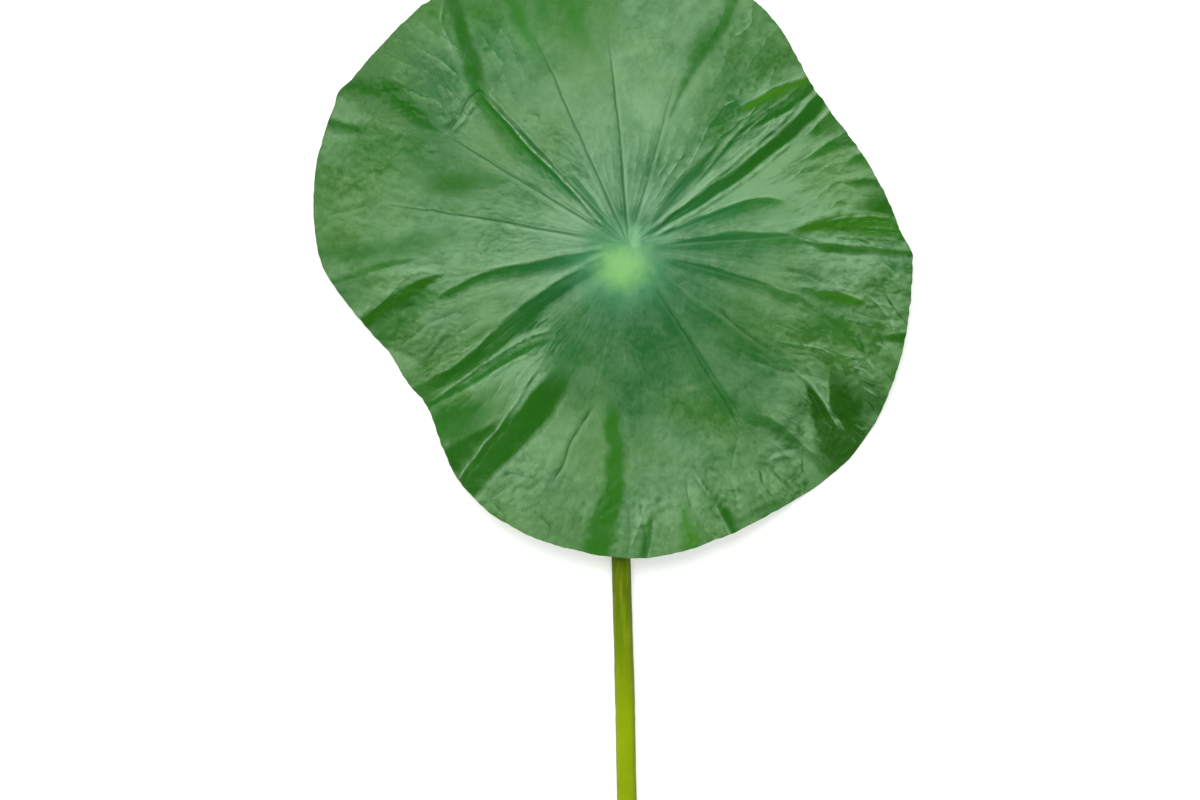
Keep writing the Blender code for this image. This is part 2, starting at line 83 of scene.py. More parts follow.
# Folds, as lines through (x, y, half width). Seen outwards, the blade steps up to the left across a fold of
# positive slope and down across a negative one. The steep flank between is turned from the light and painted a
# darker green as shade: dark is how much, deep turns it to the deepest green and lime to a yellow green painted for
# light that comes through the fold. An edge of 1 is crisp and 0 is soft, left then right.
FOLDS = [
    (0.62, 0.92, 0.35, 0.05, (1, 0.9), [
        (8, 4.8, 0.9), (22, 14, 1.9), (38, 24, 2.6), (54.8, 35.3, 2.9), (68.3, 46.2, 2.9), (80, 56.5, 3.3),
        (90, 66, 3.7), (97, 73, 3.6), (106, 82, 3.6),
    ]),
    (0.40, 0.80, 0.10, 0.0, (0.8, 0.3), [
        (9, 8.3, 0.8), (15.5, 15, 1.7), (23, 24.3, 2.5), (29.4, 32.2, 2.7), (35.6, 38.8, 2.2), (42, 47, 1.3),
        (47, 53, 0.8),
    ]),
    (0.55, 1.00, 0.35, 0.62, (1, 0.2), [
        (53, 66.3, 0.6), (57, 67.8, 1.6), (62, 70.2, 2.2), (68, 73.2, 2.5), (75, 76.8, 2.6), (82, 79.6, 2.3),
        (88, 81.8, 1.8), (97, 86, 1.6),
    ]),
    (0.45, 0.95, 0.25, 0.0, (0.2, 1), [
        (62, 59, 0.6), (72, 65.5, 2.0), (82, 71.6, 2.6), (88, 77, 2.8), (92, 81.5, 2.6), (99, 90, 2.6),
    ]),
    (0.35, 0.65, 0.1, 0.0, (1, 0.6), [(36, 33, 0.5), (54.4, 55, 0.9), (63, 63.5, 1.1), (77, 75.5, 1.0)]),
    (0.50, 1.00, 0.45, 0.1, (1, 0.6), [
        (90, 52.5, 1.2), (94, 56, 2.4), (98.6, 60.6, 3.5), (103, 65, 3.6), (111, 73, 3.6),
    ]),
    (0.45, 0.80, 0.25, 0.0, (1, 0.6), [(89, 42.5, 1.0), (100, 48.5, 2.4), (109, 53.2, 3.3), (118, 58, 3.3)]),
    (0.40, 0.90, 0.45, 0.1, (1, 0.4), [(106, 40, 0.9), (114, 42.5, 2.2), (118.5, 44, 2.4), (126, 46, 2.4)]),
    (0.40, 0.75, 0.45, 0.0, (1, 0.2), [(108, 31, 1.0), (119, 31.5, 2.4), (124, 31, 2.6), (134, 31, 2.6)]),
    (0.30, 0.90, 0.0, 0.0, (1, 0.1), [
        (13, 3.8, 0.7), (25.9, 8.7, 1.2), (35.7, 12.8, 1.8), (49.9, 17.2, 2.8), (62.2, 20.2, 3.4), (71, 21.5, 2.8),
        (80, 20.5, 1.6),
    ]),
    (0.22, 0.74, 0.0, 0.0, (1, 0), [
        (11.3, -0.6, 0.8), (34, 1.0, 2.2), (49.5, 3.2, 3.6), (66.8, 2.6, 4.6), (78, 1.6, 4.6), (91, 1, 3),
    ]),
    (0.45, 1.00, 0.55, 0.30, (0.8, 0.4), [
        (80, 6.6, 1.0), (90, 8.6, 2.8), (106, 11.0, 5.2), (120, 9.6, 6.0), (132.8, 8.7, 5.0), (145, 8, 5),
    ]),
    (0.40, 1.00, 0.70, 0.1, (0.4, 1), [(115, 20.5, 1.6), (123, 21.0, 3.8), (130, 20.5, 4.6), (140, 20, 4.6)]),
    (0.40, 0.80, 0.50, 0.1, (1, 0.6), [
        (86, 3, 1.0), (100, -0.9, 2.5), (113.7, -1.6, 2.0), (131.8, -2.9, 1.3), (145, -4, 1.2),
    ]),
    (0.34, 0.62, 0.0, 0.0, (1, 0.1), [
        (17, -7.2, 0.9), (36, -10.8, 1.9), (49.5, -15.4, 2.3), (63, -19.4, 2.4), (74.4, -24.2, 2.8), (83, -26.4, 2.8),
        (90, -28, 1.4),
    ]),
    (0.42, 1.00, 0.70, 0.35, (1, 0.3), [
        (89, -23.4, 0.8), (97.4, -24.5, 1.8), (104.6, -25.6, 2.6), (110, -27, 2.2), (116, -28.6, 1.4), (122, -30, 0.6),
    ]),
    (0.34, 0.48, 0.35, 0.1, (0.2, 1), [
        (96, -32, 0.8), (104, -38.5, 1.6), (111, -44.5, 2.2), (117, -51, 1.8), (121, -57, 1.2),
    ]),
    (0.45, 0.95, 0.75, 0.1, (1, 0.6), [(124, -46, 0.8), (130, -46.2, 1.8), (137.5, -46.2, 2.8), (147, -47, 2.8)]),
    (0.20, 0.26, 0.0, 0.0, (1, 0), [
        (13.9, -13, 0.7), (25.4, -23.2, 2.0), (35, -33.2, 3.0), (44.9, -40, 3.7), (53.9, -47.4, 4.2),
        (63.9, -52.7, 4.4), (72.5, -56.1, 3.8), (81.5, -61.5, 3.2), (87, -66, 2),
    ]),
    (0.20, 0.48, 0.0, 0.0, (1, 0), [
        (7.6, -12.6, 0.6), (15.6, -28.7, 1.2), (22.6, -40.7, 2.4), (27.8, -48.5, 3.8), (32.4, -56, 5.3),
        (36.7, -64, 5.2), (42.3, -70.8, 4.6), (48, -78.6, 3.8), (54.5, -83.6, 2.6),
    ]),
    (0.50, 1.00, 1.00, 0.0, (1, 0.6), [
        (88, -66, 0.7), (90.5, -71, 1.4), (93.4, -77, 2.6), (95.5, -84, 5.4), (98.8, -92, 7.0), (103.5, -100, 8.6),
        (110, -109, 9), (117, -119, 9),
    ]),
    (0.50, 1.00, 1.00, 0.0, (0.4, 1), [
        (101.5, -58, 1.0), (105.5, -66, 6.2), (109.6, -74.8, 10.0), (112.6, -82, 9.4), (114, -89, 6.6),
        (116.5, -96, 3.4),
    ]),
    (0.35, 0.60, 0.45, 0.0, (1, 0.2), [
        (60, -84, 2.0), (70, -88.6, 3.2), (79, -95, 2.8), (85, -100.4, 2.5), (91.5, -106, 2.6), (100, -112, 3.2),
        (108, -118, 3),
    ]),
    (-0.35, 0.95, 0.50, 0.0, (0.2, 1), [(43, -125, 1.0), (47.5, -131, 2.0), (52, -137.5, 2.6), (57, -147, 2.8)]),
    (-0.25, 0.75, 0.30, 0.5, (0, 0), [(27, -126, 1.4), (28.5, -137, 2.6), (31.4, -147.5, 4.4), (33, -158, 5)]),
    (-0.20, 0.94, 0.25, 0.18, (0.75, 0.5), [
        (-9.4, -76, 2.2), (-8.6, -84, 3.6), (-7.4, -93, 4.8), (-6.6, -103, 5.0), (-6.6, -118, 5.6), (-10, -133, 6.6),
        (-15.5, -148, 7.4), (-19, -162, 8),
    ]),
    (-0.50, 0.95, 0.55, 0.05, (0.9, 0.9), [
        (-30, -60, 3.4), (-36, -69, 6.6), (-43, -78, 7.6), (-51, -88, 7.6), (-61, -98, 7.2), (-70.5, -109, 6.2),
        (-79, -120, 5.2), (-88, -131, 5),
    ]),
    (-0.45, 1.00, 0.60, 0.0, (0.1, 0.9), [
        (-62, -86, 1.2), (-69.5, -93, 3.0), (-80, -101.5, 6.0), (-90, -110, 7.4), (-100, -119, 8),
    ]),
    (-0.30, 0.55, 0.10, 0.0, (0, 0), [(-68, -80, 2.0), (-80, -84, 5.6), (-92, -87, 6.6), (-106, -91, 7)]),
    (-0.52, 0.62, 0.20, 0.0, (0.8, 1), [
        (-11, -8, 1.6), (-19, -12.6, 2.2), (-28, -17.2, 2.8), (-41.6, -26.4, 3.4), (-54, -37.8, 4.6),
        (-64.5, -47.4, 4.8), (-75, -56.0, 4.2), (-88.5, -65.3, 3.4), (-103.8, -72.8, 3.1), (-118, -79, 3),
    ]),
    (-0.10, 0.98, 0.35, 0.0, (0.8, 1), [(-66, -48.8, 1.4), (-76, -56.6, 3.6), (-88.5, -65.3, 3.2), (-99, -71, 2.0)]),
    (-0.30, 0.92, 0.15, 0.0, (0.9, 0.3), [
        (-38, -46, 1.0), (-51, -51.5, 2.4), (-62, -57, 2.4), (-72, -63.6, 2.2), (-81, -69, 2.0), (-92, -75, 1.8),
        (-104, -81, 1.6), (-118, -88, 1.6),
    ]),
    (-0.34, 0.95, 0.05, 0.0, (0.2, 1), [
        (-15, -3.6, 1.4), (-24, -6.2, 2.2), (-32, -8.4, 2.8), (-44.4, -11.2, 3.2), (-58, -12.8, 2.8), (-70, -15, 2.4),
        (-80, -18.8, 2.0), (-89, -24, 2.2), (-97, -28, 1.2),
    ]),
    (-0.48, 0.95, 0.70, 0.15, (0.5, 0.9), [
        (-90, -14.5, 0.4), (-96, -15.6, 1.0), (-101, -18, 2.2), (-106, -21, 3.2), (-113, -25, 3.8), (-121, -31, 3.6),
        (-131, -38, 3.2), (-142, -45.5, 3),
    ]),
    (-0.30, 0.75, 0.10, 0.0, (0, 0), [(-98, -25, 2.0), (-110, -33, 5.6), (-120, -41, 5.4), (-130, -50, 5)]),
    (-0.34, 1.00, 0.40, 0.0, (0.1, 0.5), [
        (-95, 55, 1.0), (-102, 62, 2.6), (-109, 69, 4.0), (-118, 76.5, 5.6), (-130, 80.5, 5.6), (-143.6, 79.5, 3.4),
        (-154, 79, 3),
    ]),
    (-0.34, 0.75, 0.40, 0.0, (0.2, 0.8), [(-130, 57, 1.2), (-143, 60, 2.0), (-151, 61.5, 2.8), (-160, 63, 3)]),
    (-0.34, 0.90, 0.10, 0.0, (0, 1), [
        (-24, 21, 1.0), (-32, 29, 2.6), (-42.5, 40, 4.2), (-54, 50, 5.2), (-63, 60.5, 5.0), (-70, 68.5, 4.6),
        (-75, 76, 4.0), (-79.5, 85, 3.4), (-84, 98, 2),
    ]),
    (0.12, 0.72, 0.0, 0.0, (0.2, 1), [
        (-8, 7, 0.8), (-14, 14.5, 2.0), (-19, 21.5, 2.8), (-25, 29.5, 2.6), (-32, 38.5, 1.6),
    ]),
    (-0.50, 1.0, 0.50, 0.0, (0.5, 0.6), [
        (-72, 76, 2.6), (-75.8, 87, 4.0), (-79.8, 98, 4.6), (-84, 111, 4.4), (-88, 123, 4.6), (-93, 140, 4.8),
    ]),
    (0.30, 0.56, 0.12, 0.0, (0, 0.7), [
        (20, 62, 0.3), (25, 74, 0.8), (30, 85, 2.0), (35.5, 96, 3.4), (41.5, 105.4, 3.8), (47.7, 114, 3.4),
        (53, 124, 2.6), (60, 138, 2.4),
    ]),
    (-0.20, 0.30, 0.0, 0.0, (0, 0), [(-92, 4, 1.4), (-108, 0, 3.4), (-122, -1, 3.8), (-136, -3, 2.6), (-156, -4, 2.6)]),
    (-0.26, 0.60, 0.10, 0.15, (1, 0.6), [
        (-104, -6, 0.6), (-118, -8.7, 1.5), (-132, -12.5, 1.3), (-144, -17, 0.8), (-154, -20, 0.8),
    ]),
    (-0.25, 0.75, 0.20, 0.0, (1, 0.3), [(12, -132, 0.6), (10.5, -140, 1.8), (9, -147, 2.2), (7, -157, 2)]),
]

# Soft patches of painted shade, darker and greener, as (x, y, half length, half width, turn in degrees, dark, deep,
# lime).
SHADE_PATCHES = [
    (-86.5, 31, 16, 6.5, 2, 0.98, 0.50, 0.05), (-107, 71, 15, 6, 139, 0.40, 0.0, 0.0),
    (-108, 44, 22, 4.5, -35, 0.45, 0.0, 0.0), (-70, 33, 14, 4, -12, 0.35, 0.0, 0.0),
    (-127, 48, 13, 6, -50, 0.40, 0.0, 0.0), (-119, -3, 24, 5, 8, 0.35, 0.0, 0.0), (-104, 6, 20, 5, 2, 0.30, 0.0, 0.0),
    (-56, 118, 17, 4.0, 112, 0.85, 0.0, 0.12), (-49, 104, 14, 3.0, 122, 0.45, 0.0, 0.1),
    (-43, 120, 14, 4.0, 96, 0.60, 0.0, 0.0), (-28, 118, 15, 5.0, 105, 0.80, 0.0, 0.12),
    (-19, 100, 22, 3.6, 118, 0.40, 0.0, 0.1), (-10, 118, 14, 6, 95, 0.50, 0.0, 0.15),
    (-74, 112, 18, 3.4, 112, 0.20, 0.0, 0.1), (52, 61, 15, 5, 50, 0.25, 0.0, 0.15), (70, 17, 18, 5, 4, 0.40, 0.0, 0.0),
    (127, 25, 9, 6, 0, 0.60, 0.6, 0.0), (33, -38, 26, 8, -50, 0.12, 0.0, 0.1), (47, -133, 13, 4, -58, 0.6, 0.4, 0.0),
    (31, -149, 9, 4.5, -80, 0.5, 0.0, 0.5), (-81, -89, 19, 12, 20, 0.75, 0.20, 0.0),
    (-31, -57, 14, 9, 58, 0.50, 0.0, 0.0), (-71, 70, 9, 4, 132, 0.5, 0.0, 0.0), (103, -114, 9, 5, -45, 0.8, 0.6, 0.0),
    (-104, -25, 16, 6, 12, 0.55, 0.0, 0.0), (111, -103, 10, 7, -42, 0.4, 1.0, 0.0),
    (124, -76, 12, 5, -60, 0.7, 0.9, 0.0), (-44, -44, 14, 7, 40, 0.15, 0.0, 0.0),
    (16, -60, 22, 12, -70, 0.15, 0.0, 0.0), (-118, 90, 18, 8, 45, 0.15, 0.0, 0.1), (96, -36, 10, 4, -20, 0.3, 0.2, 0.1),
    (8, 118, 12, 6, 88, 0.12, 0.0, 0.1), (-3, -148, 10, 4, 85, 0.15, 0.0, 0.1), (-62, -118, 14, 5, 40, 0.2, 0.0, 0.0),
]

# Thin ridges (positive height) and sharp creases (negative), in mm: (height, how pale its painted highlight is or,
# below zero, how dark its painted shade is, line).
LINES = [
    (0.5, 0.75, [(11, 7), (23, 17.5), (36, 28), (50, 40), (66, 53), (78, 63.5), (86, 73)]),
    (0.4, 0.65, [(13.5, 5.5), (27, 13), (41, 22), (56, 32), (71, 43), (84, 54)]),
    (0.3, 0.45, [(45, 47), (55, 58), (66, 66), (78, 74), (86, 80)]),
    (0.6, 0.85, [(-38, -41), (-49, -45), (-58.5, -49.5), (-67, -55.5), (-76.4, -62), (-88.5, -70.8), (-98, -77.5)]),
    (0.5, 0.60, [(-42.5, -49), (-52, -55), (-64.3, -61.5), (-74, -68)]),
    (0.7, 0.85, [(-46, -61), (-55.5, -77), (-65, -90.4), (-74, -101.5), (-82, -112), (-87, -119)]),
    (0.5, 0.55, [(-131.5, -35), (-121.5, -26), (-111.5, -15.5), (-104, -12.5), (-96, -13)]),
    (0.4, 0.50, [(-11, -4.5), (-22, -9.5), (-34, -16), (-48, -25.5), (-62, -36), (-78.5, -53)]),
    (0.3, 0.35, [(-9, -1), (-20, -2.5), (-32.5, -4), (-50, -7.5), (-65.5, -11), (-85, -17.5)]),
    (0.5, 0.75, [(81, -60), (87, -65), (93.5, -70), (98.6, -77.5), (101.5, -84.5), (106, -92)]),
    (0.3, 0.50, [(88, -58.5), (93, -63.5), (97, -69)]),
    (-0.4, -0.9, [(127, -22), (131, -28), (135, -34), (140.5, -40)]),
    (0.4, 0.9, [(120, -24), (126, -29), (131, -36), (133.5, -43.5)]),
    (-0.35, -0.8, [(113, -43.5), (117, -49), (119, -56)]),
    (0.3, 0.8, [(106.8, -57.5), (113, -54.5), (119, -55.5), (123, -61)]),
    (0.3, 0.7, [(109.5, -63), (114.8, -60), (119, -62), (123, -67)]),
    (-0.4, -0.9, [(115, -66), (121.9, -70), (129, -72)]),
    (0.4, 0.9, [(117, -70.5), (122.8, -74), (128, -76)]),
    (-0.4, -0.9, [(116, -75), (121.5, -79), (124, -84)]),
    (0.3, 0.7, [(74, -47.5), (86.4, -49), (97, -51.5), (104.5, -55)]),
    (-0.3, -0.6, [(79, -53), (91.7, -54.5), (102.4, -60)]),
    (-0.25, -0.65, [(6.9, -9.4), (17.6, -28.3), (30, -46.5), (36.7, -59.5), (44, -71), (50, -80), (56, -92)]),
    (-0.15, -0.35, [(1.5, -14), (4, -24), (7, -36)]),
    (-0.2, -0.8, [(-51.6, 66.3), (-48.7, 65.9), (-45.4, 65.6), (-44, 64)]),
    (-0.1, -0.5, [(-50.1, 67.8), (-46.9, 67.6)]),
    (-0.2, -0.9, [(-52.2, 61.7), (-50, 62.6)]),
    (-0.2, -0.6, [(-45.1, 62.3), (-41.4, 61)]),
    (-0.1, -0.5, [(-48.2, 58.8), (-45.8, 58.8)]),
    (-0.2, -0.6, [(-40, 55.6), (-37.8, 56.4), (-34.2, 55.9)]),
    (-0.2, -0.7, [(-38.2, 46.4), (-34, 45)]),
    (0.2, 0.6, [(-41, 50.5), (-38.2, 48.6)]),
    (-0.2, -0.8, [(-39.2, 42), (-36, 40)]),
    (-0.2, -0.6, [(-30, 38.1), (-24.8, 38.2)]),
    (-0.2, -0.7, [(-24.5, 35.4), (-19, 34.1)]),
    (-0.2, -0.6, [(-33, 33.4), (-29, 32)]),
    (-0.2, -0.7, [(-58, 76.4), (-56.3, 76.7)]),
    (-0.2, -0.8, [(-69, 74.4), (-60, 64.3), (-50, 53.4), (-40, 43.4)]),
    (-0.25, -0.6, [(44, -30.5), (58, -43.5), (72, -53.3)]),
    (-0.35, -0.7, [(65.5, -109), (67, -118), (73, -127)]),
    (0.3, 0.6, [(66.9, -107.5), (76, -104.5), (84.6, -105.5)]),
    (-0.35, -0.8, [(86.4, -103), (87.3, -112.8), (81, -119)]),
    (-0.3, -0.6, [(45, -122), (58, -122.6)]),
    (0.5, 1.0, [(113.5, -89), (117, -91.5), (120, -91)]),
    (0.6, 1.05, [(-72, 75.6), (-62, 64.0), (-48.7, 48.9), (-33.5, 34), (-24, 23.8), (-12, 10.5)]),
    (0.4, 0.45, [(-92.5, 123), (-94, 113), (-90.5, 104), (-87, 96)]),
    (0.3, 0.60, [(99, 12.5), (110, 14.5), (121, 15.5), (132, 14)]),
    (0.3, 0.45, [(116, 10), (126, 9), (135, 8.5)]),
    (0.25, 0.40, [(104, 5), (118, 4.5), (136, 3.5)]),
    (0.35, 0.45, [(82, -20), (94, -20.5), (106, -21), (116, -23)]),
    (-0.45, -1.3, [(-93, 56.5), (-88, 60.5), (-84, 64), (-82.5, 69), (-80, 74.5), (-75, 77.7), (-72, 77)]),
    (0.35, 0.8, [(-88, 58), (-82, 63), (-79, 69), (-76, 73.5)]),
    (-0.35, -0.9, [(-83, 67), (-79.5, 65), (-76.5, 70)]),
    (-0.3, -0.55, [(-92, 57), (-88, 63), (-89.5, 75), (-94, 84), (-99, 94)]),
    (-0.4, -0.45, [(70, -109), (78, -119), (84, -128), (88, -134)]),
    (-0.35, -0.4, [(67, -108), (72, -103), (84, -101), (92, -104)]),
    (-0.3, -0.35, [(92, -104), (97, -114), (101, -121)]),
    (-0.3, -0.35, [(41, -123), (52, -124.5), (60, -124)]),
    (-0.4, -0.5, [(5, -126), (7, -136), (9, -147), (8, -156)]),
    (-0.35, -0.45, [(0, -129), (1, -142), (-1, -156)]),
    (-0.4, -0.95, [(-17, -80), (-24.7, -91), (-30, -101), (-33.3, -111), (-39, -120)]),
    (0.3, 0.7, [(8, -130), (6, -138.4), (0.5, -151)]),
    (-0.35, -0.8, [(34.6, -114), (39, -121), (44.6, -127)]),
    (0.3, 0.6, [(31.7, -112), (36.5, -119), (41, -126)]),
    (-0.25, -0.5, [(28.9, -114), (29.6, -124), (31.7, -134)]),
    (-0.3, -0.5, [(54.6, -95.6), (51.7, -105.6), (51, -113)]),
    (-0.3, -0.6, [(-66, -116), (-58.3, -113.4), (-49.7, -116)]),
    (-0.3, -0.6, [(-71, -124), (-65.4, -130), (-61, -135)]),
    (-0.3, -0.6, [(-44, -134), (-38.3, -140), (-39.7, -147)]),
    (0.3, 0.55, [(82, 4), (98.9, 1.8), (115.3, 0)]),
    (-0.3, -0.6, [(125, -5.8), (133.4, -12), (139, -16)]),
    (-0.3, -0.35, [(-56, -117), (-66, -124), (-75, -131)]),
    (-0.4, -0.5, [(126, -60), (132, -67), (139, -70)]),
    (-0.4, -0.5, [(121, -72), (128, -77), (134, -80)]),
    (-0.3, -0.4, [(60, -56), (76, -62), (90, -64), (101, -68)]),
    (-0.3, -0.4, [(76, -12), (90, -14), (101, -19)]),
    (-0.35, -0.4, [(96, -2), (108, -4), (122, -4), (136, -6)]),
    (-0.35, -0.45, [(112, -32), (122, -36), (134, -37), (141, -36)]),
    (-0.35, -0.4, [(114, 26), (123, 25), (131, 26)]),
    (-0.3, -0.35, [(84, 36), (95, 38), (106, 36), (116, 38)]),
    (-0.35, -0.4, [(-90, -34), (-102, -40), (-114, -50)]),
    (-0.3, -0.35, [(-88, -44), (-97, -52), (-103, -62)]),
    (-0.3, -0.3, [(-128, 22), (-138, 18), (-150, 16)]),
]

# Patches of the face with more wax bloom and painted sheen than the rest, or less, which leaves them darker as
# painted shade: (x, y, radius, how much paler).
BLOOM = [
    (-8, 66, 50, 0.40), (28, 92, 40, 0.22), (-56, 96, 34, 0.04), (-78, 8, 46, 0.22), (-122, 34, 34, 0.15),
    (-35, 35, 26, 0.06), (-116, -8, 24, 0.30), (-62, -10, 24, 0.30), (84, 30, 28, 0.70), (60, 62, 24, -0.10),
    (112, -18, 28, 0.30), (80, -34, 22, 0.20), (-30, -100, 24, 0.30), (-55, -62, 22, 0.35), (30, -112, 32, 0.42),
    (-50, -130, 24, 0.17), (66, -118, 24, 0.32), (12, -140, 18, 0.25), (84, -66, 18, 0.15), (96, 95, 26, 0.15),
    (4, -48, 26, 0.10), (-12, -42, 24, -0.06), (34, -76, 24, -0.10), (-20, -62, 18, 0.0), (56, -87, 12, -0.22),
    (71, -77, 11, -0.22), (36, -107, 12, -0.18), (60, -20, 24, -0.02), (44, -30, 14, 0.08), (30, -12, 16, -0.06),
    (15, -22, 12, 0.05), (-108, 72, 26, -0.20), (11, -79, 12, 0.12), (-14, -52, 12, -0.14), (76, -52, 14, -0.08),
    (81, -12, 12, -0.06), (44, 62, 20, -0.22), (-118, 92, 26, -0.10), (-100, 46, 18, -0.15), (-70, -36, 14, 0.2),
    (-14, 104, 16, -0.1), (62, 100, 18, -0.12), (-140, 14, 20, 0.02), (-120, 78, 26, -0.08), (36, 74, 7, 0.25),
    (40, 87, 7, 0.25), (31, 62, 6, 0.2), (60, -33, 13, 0.05), (-31, 10, 13, 0.50), (9, 23, 9, 0.28),
    (-34, -4.5, 9, -0.35), (51, -57, 13, -0.10), (59, -50, 10, 0.10), (-94, -42, 13, 0.2), (96, -27, 11, -0.28),
    (-72, -28, 9, 0.25), (132, -51, 8, 0.45), (88, -66, 8, 0.25), (83, -86, 8, 0.3), (123, -14, 12, 0.25),
    (-34, 48, 22, -0.30), (-54, 23, 12, 0.12), (-14, -32, 10, -0.30), (31, -77, 12, -0.12), (53, 106, 14, 0.15),
    (88, 71, 5, 0.3), (54, 46, 7, 0.2), (28, 27, 7, 0.2),
]

# Where sharp small pleats, painted only as light and shade, run down the spokes: (x, y, radius, how much).
PLEATS = [
    (34, 30, 22, 0.9), (62, 62, 22, 0.9), (86, 46, 24, 0.8), (104, 22, 24, 0.5), (-26, 30, 20, 0.5), (8, 40, 24, 0.35),
    (-60, -48, 18, 0.7), (-84, -62, 20, 0.8), (-60, -80, 20, 0.4), (104, -70, 20, 0.7), (120, -40, 22, 0.7),
    (96, -104, 20, 0.6), (-98, 84, 26, 0.5), (44, -132, 24, 0.5), (-70, 96, 20, 0.4), (60, 112, 22, 0.5),
    (-40, 10, 30, 0.15), (-20, -120, 30, 0.25),
]
# How many would go all round the blade: they lie 12 mm apart at the edge.
PLEATS_ROUND = 76.0

# Where the face is crumpled most: (x, y, radius, how much).
CRUMPLE = [
    (124, -52, 30, 0.9), (102, -104, 28, 0.8), (134, -8, 26, 0.8), (118, 46, 22, 0.6), (44, -136, 26, 0.7),
    (-112, 84, 26, 0.7), (-134, 44, 28, 0.6), (-104, -34, 24, 0.8), (-58, -118, 26, 0.7), (104, 10, 22, 0.5),
    (86, -44, 20, 0.5), (84, -112, 22, 0.6), (78, 104, 24, 0.5), (-66, 6, 28, 0.30), (-94, -66, 16, 0.5),
    (-84, 66, 14, 0.15), (10, 120, 34, 0.35), (-34, 44, 24, 0.38), (64, 66, 20, 0.4), (-4, -136, 20, 0.5),
    (-46, -52, 14, 0.5), (-146, 0, 26, 0.3), (36, -86, 22, 0.3),
]

# Veins: (bearing near the hub, bearing at the edge, how clear its line is, share of the way out where it fades).
# Its rib splits in two at the fork, and ends short of the edge, both as shares of the way out.
VEINS = [
    (4.5, 3.5, 0.55, 0.62), (18.5, 22.0, 0.25, 0.5), (33.0, 33.5, 0.1, 0.6), (49.0, 50.0, 0.3, 0.35),
    (74.0, 74.5, 0.65, 0.52), (94.0, 96.0, 1.0, 0.62), (113.5, 114.0, 0.95, 0.66), (133.0, 134.0, 0.8, 0.66),
    (148.5, 149.0, 0.95, 0.64), (168.0, 171.0, 0.95, 0.72), (188.5, 191.0, 0.5, 0.55), (207.5, 209.0, 0.25, 0.6),
    (224.0, 224.0, 0.15, 0.4), (241.0, 240.5, 0.1, 0.4), (257.0, 256.0, 0.25, 0.60), (271.0, 271.0, 0.08, 0.5),
    (286.0, 286.0, 0.12, 0.5), (302.5, 304.5, 0.35, 0.75), (323.0, 325.0, 0.22, 0.7), (344.0, 346.0, 0.35, 0.62),
]
FORK = 0.62
FORK_SPREAD = 0.25
RIBS_END = 0.93
RIB_HALF_WIDTH = 2.2
# How much of a rib's height its vein sinks into the face.
VEIN_SINK = 0.25

# The stalk's middle line: its sway is (distance along -Y from the hub, offset along X).
STALK_SWAY = [(0, 0.0), (40, -3.0), (80, -4.6), (153, -3.5), (227, -1.5), (277, -0.5), (340, 2.6), (410, 7.5)]
STALK_BEND_RADIUS = 22.0
STALK_REACH = 400.0
# Steps round its bend and along the rest of it.
BEND_STEPS = 18
STALK_STEPS = 189
# It ends inside the blade's wall and widens there: (height above the surface, radius).
STALK_TOP = [(30.35, 6.0), (29.35, 5.4)]
# A faint ring goes round it, at this distance from the hub.
STALK_RING = 237.0
# The air canals that open in its cut end, as (right of its middle, above it, radius).
CANALS = [
    (-1.75, 1.15, 1.15), (1.75, 1.15, 1.15), (-1.35, -1.75, 0.85), (1.35, -1.75, 0.85), (0.0, 3.3, 0.55),
    (0.0, -0.35, 0.5),
]
CANAL_DEPTH = 9.0
# The cut's slant in degrees, the block that makes it, and how far back its pale flesh may show.
CUT_SLANT = 24.0
CUT_BLOCK = 30.0
CUT_FLESH = 20.0

# Painted light falls from this way up the leaf: what faces it is painted paler, as sheen or highlight, and what is
# turned from it darker, as shade.
PAINTED_LIGHT_SIDE = (-0.3, 0.954)

# The edge is about 911 mm round and 145 mm from the hub, so counts of cells round the blade and from the hub to the
# edge give the sizes of a pattern that runs along the spokes.
BLADE_REACH = 145.0
# Three sizes of crumple, 16 by 24, 7 by 10 and 3 by 4 mm at the edge: cells round the blade, cells from
# the hub to the edge, how far their borders are bent, and how strongly their painted light and shade shows.
CRUMPLE_CELLS = [(56.0, 6.0, 1.6, 9.0), (130.0, 15.0, 2.2, 7.0), (300.0, 36.0, 2.4, 5.0)]
# Streaks along the spokes, as cells round the blade, cells from the hub to the edge, and detail. The fibres are 2.2 by
# 6.6 mm at the edge. Real ones are thinner than a pixel of the picture, so they are drawn as coarse as shows.
STREAKS = {"fibres": (420.0, 22.0, 2.0), "long": (170.0, 7.0, 3.0), "broad": (58.0, 3.2, 3.0), "rays": (46.0, 2.0, 2.0)}
# Noises over the face: the size of a bump in mm, detail, roughness and distortion. The grains of wax themselves are
# far too fine to show, so the pores stand for them at nearly a millimetre.
NOISES = {
    "clouds": (33.333, 3.0, 0.5, 0.0), "blots": (11.111, 3.0, 0.55, 0.6), "small": (3.0303, 3.0, 0.6, 0.4),
    "pores": (0.90909, 2.0, 0.5, 0.0), "patchy": (25.0, 3.0, 0.55, 0.0), "yellow": (50.0, 2.0, 0.5, 0.0),
    "frayed": (6.6667, 3.0, 0.55, 0.0), "blotchy": (16.667, 3.0, 0.55, 0.0), "wander": (28.571, 2.0, 0.5, 0.0),
}
# The noise that bends the crumple's borders has bumps of this size.
BEND_SIZE = 13.333

# The disc that the blade is shaped from: spokes from one vein to the next, rings, the share of the way out of its
# first ring and of the two rings at which its spokes double, and the share of faces kept on the underside.
SPOKES_PER_VEIN = 36
RINGS = 112
FIRST_RING = 0.012
DOUBLING_RINGS = (0.10, 0.30)
UNDERSIDE_KEPT = 0.36

# The blade's material slots: its face, its underside and its rim.
SLOTS = ("face", "underside", "rim")

# What a point far outside any fold is given as its place in a flank, and the furthest that counts inside one.
FLANK_OUTSIDE = -8.0
FLANK_INSIDE = 3.0

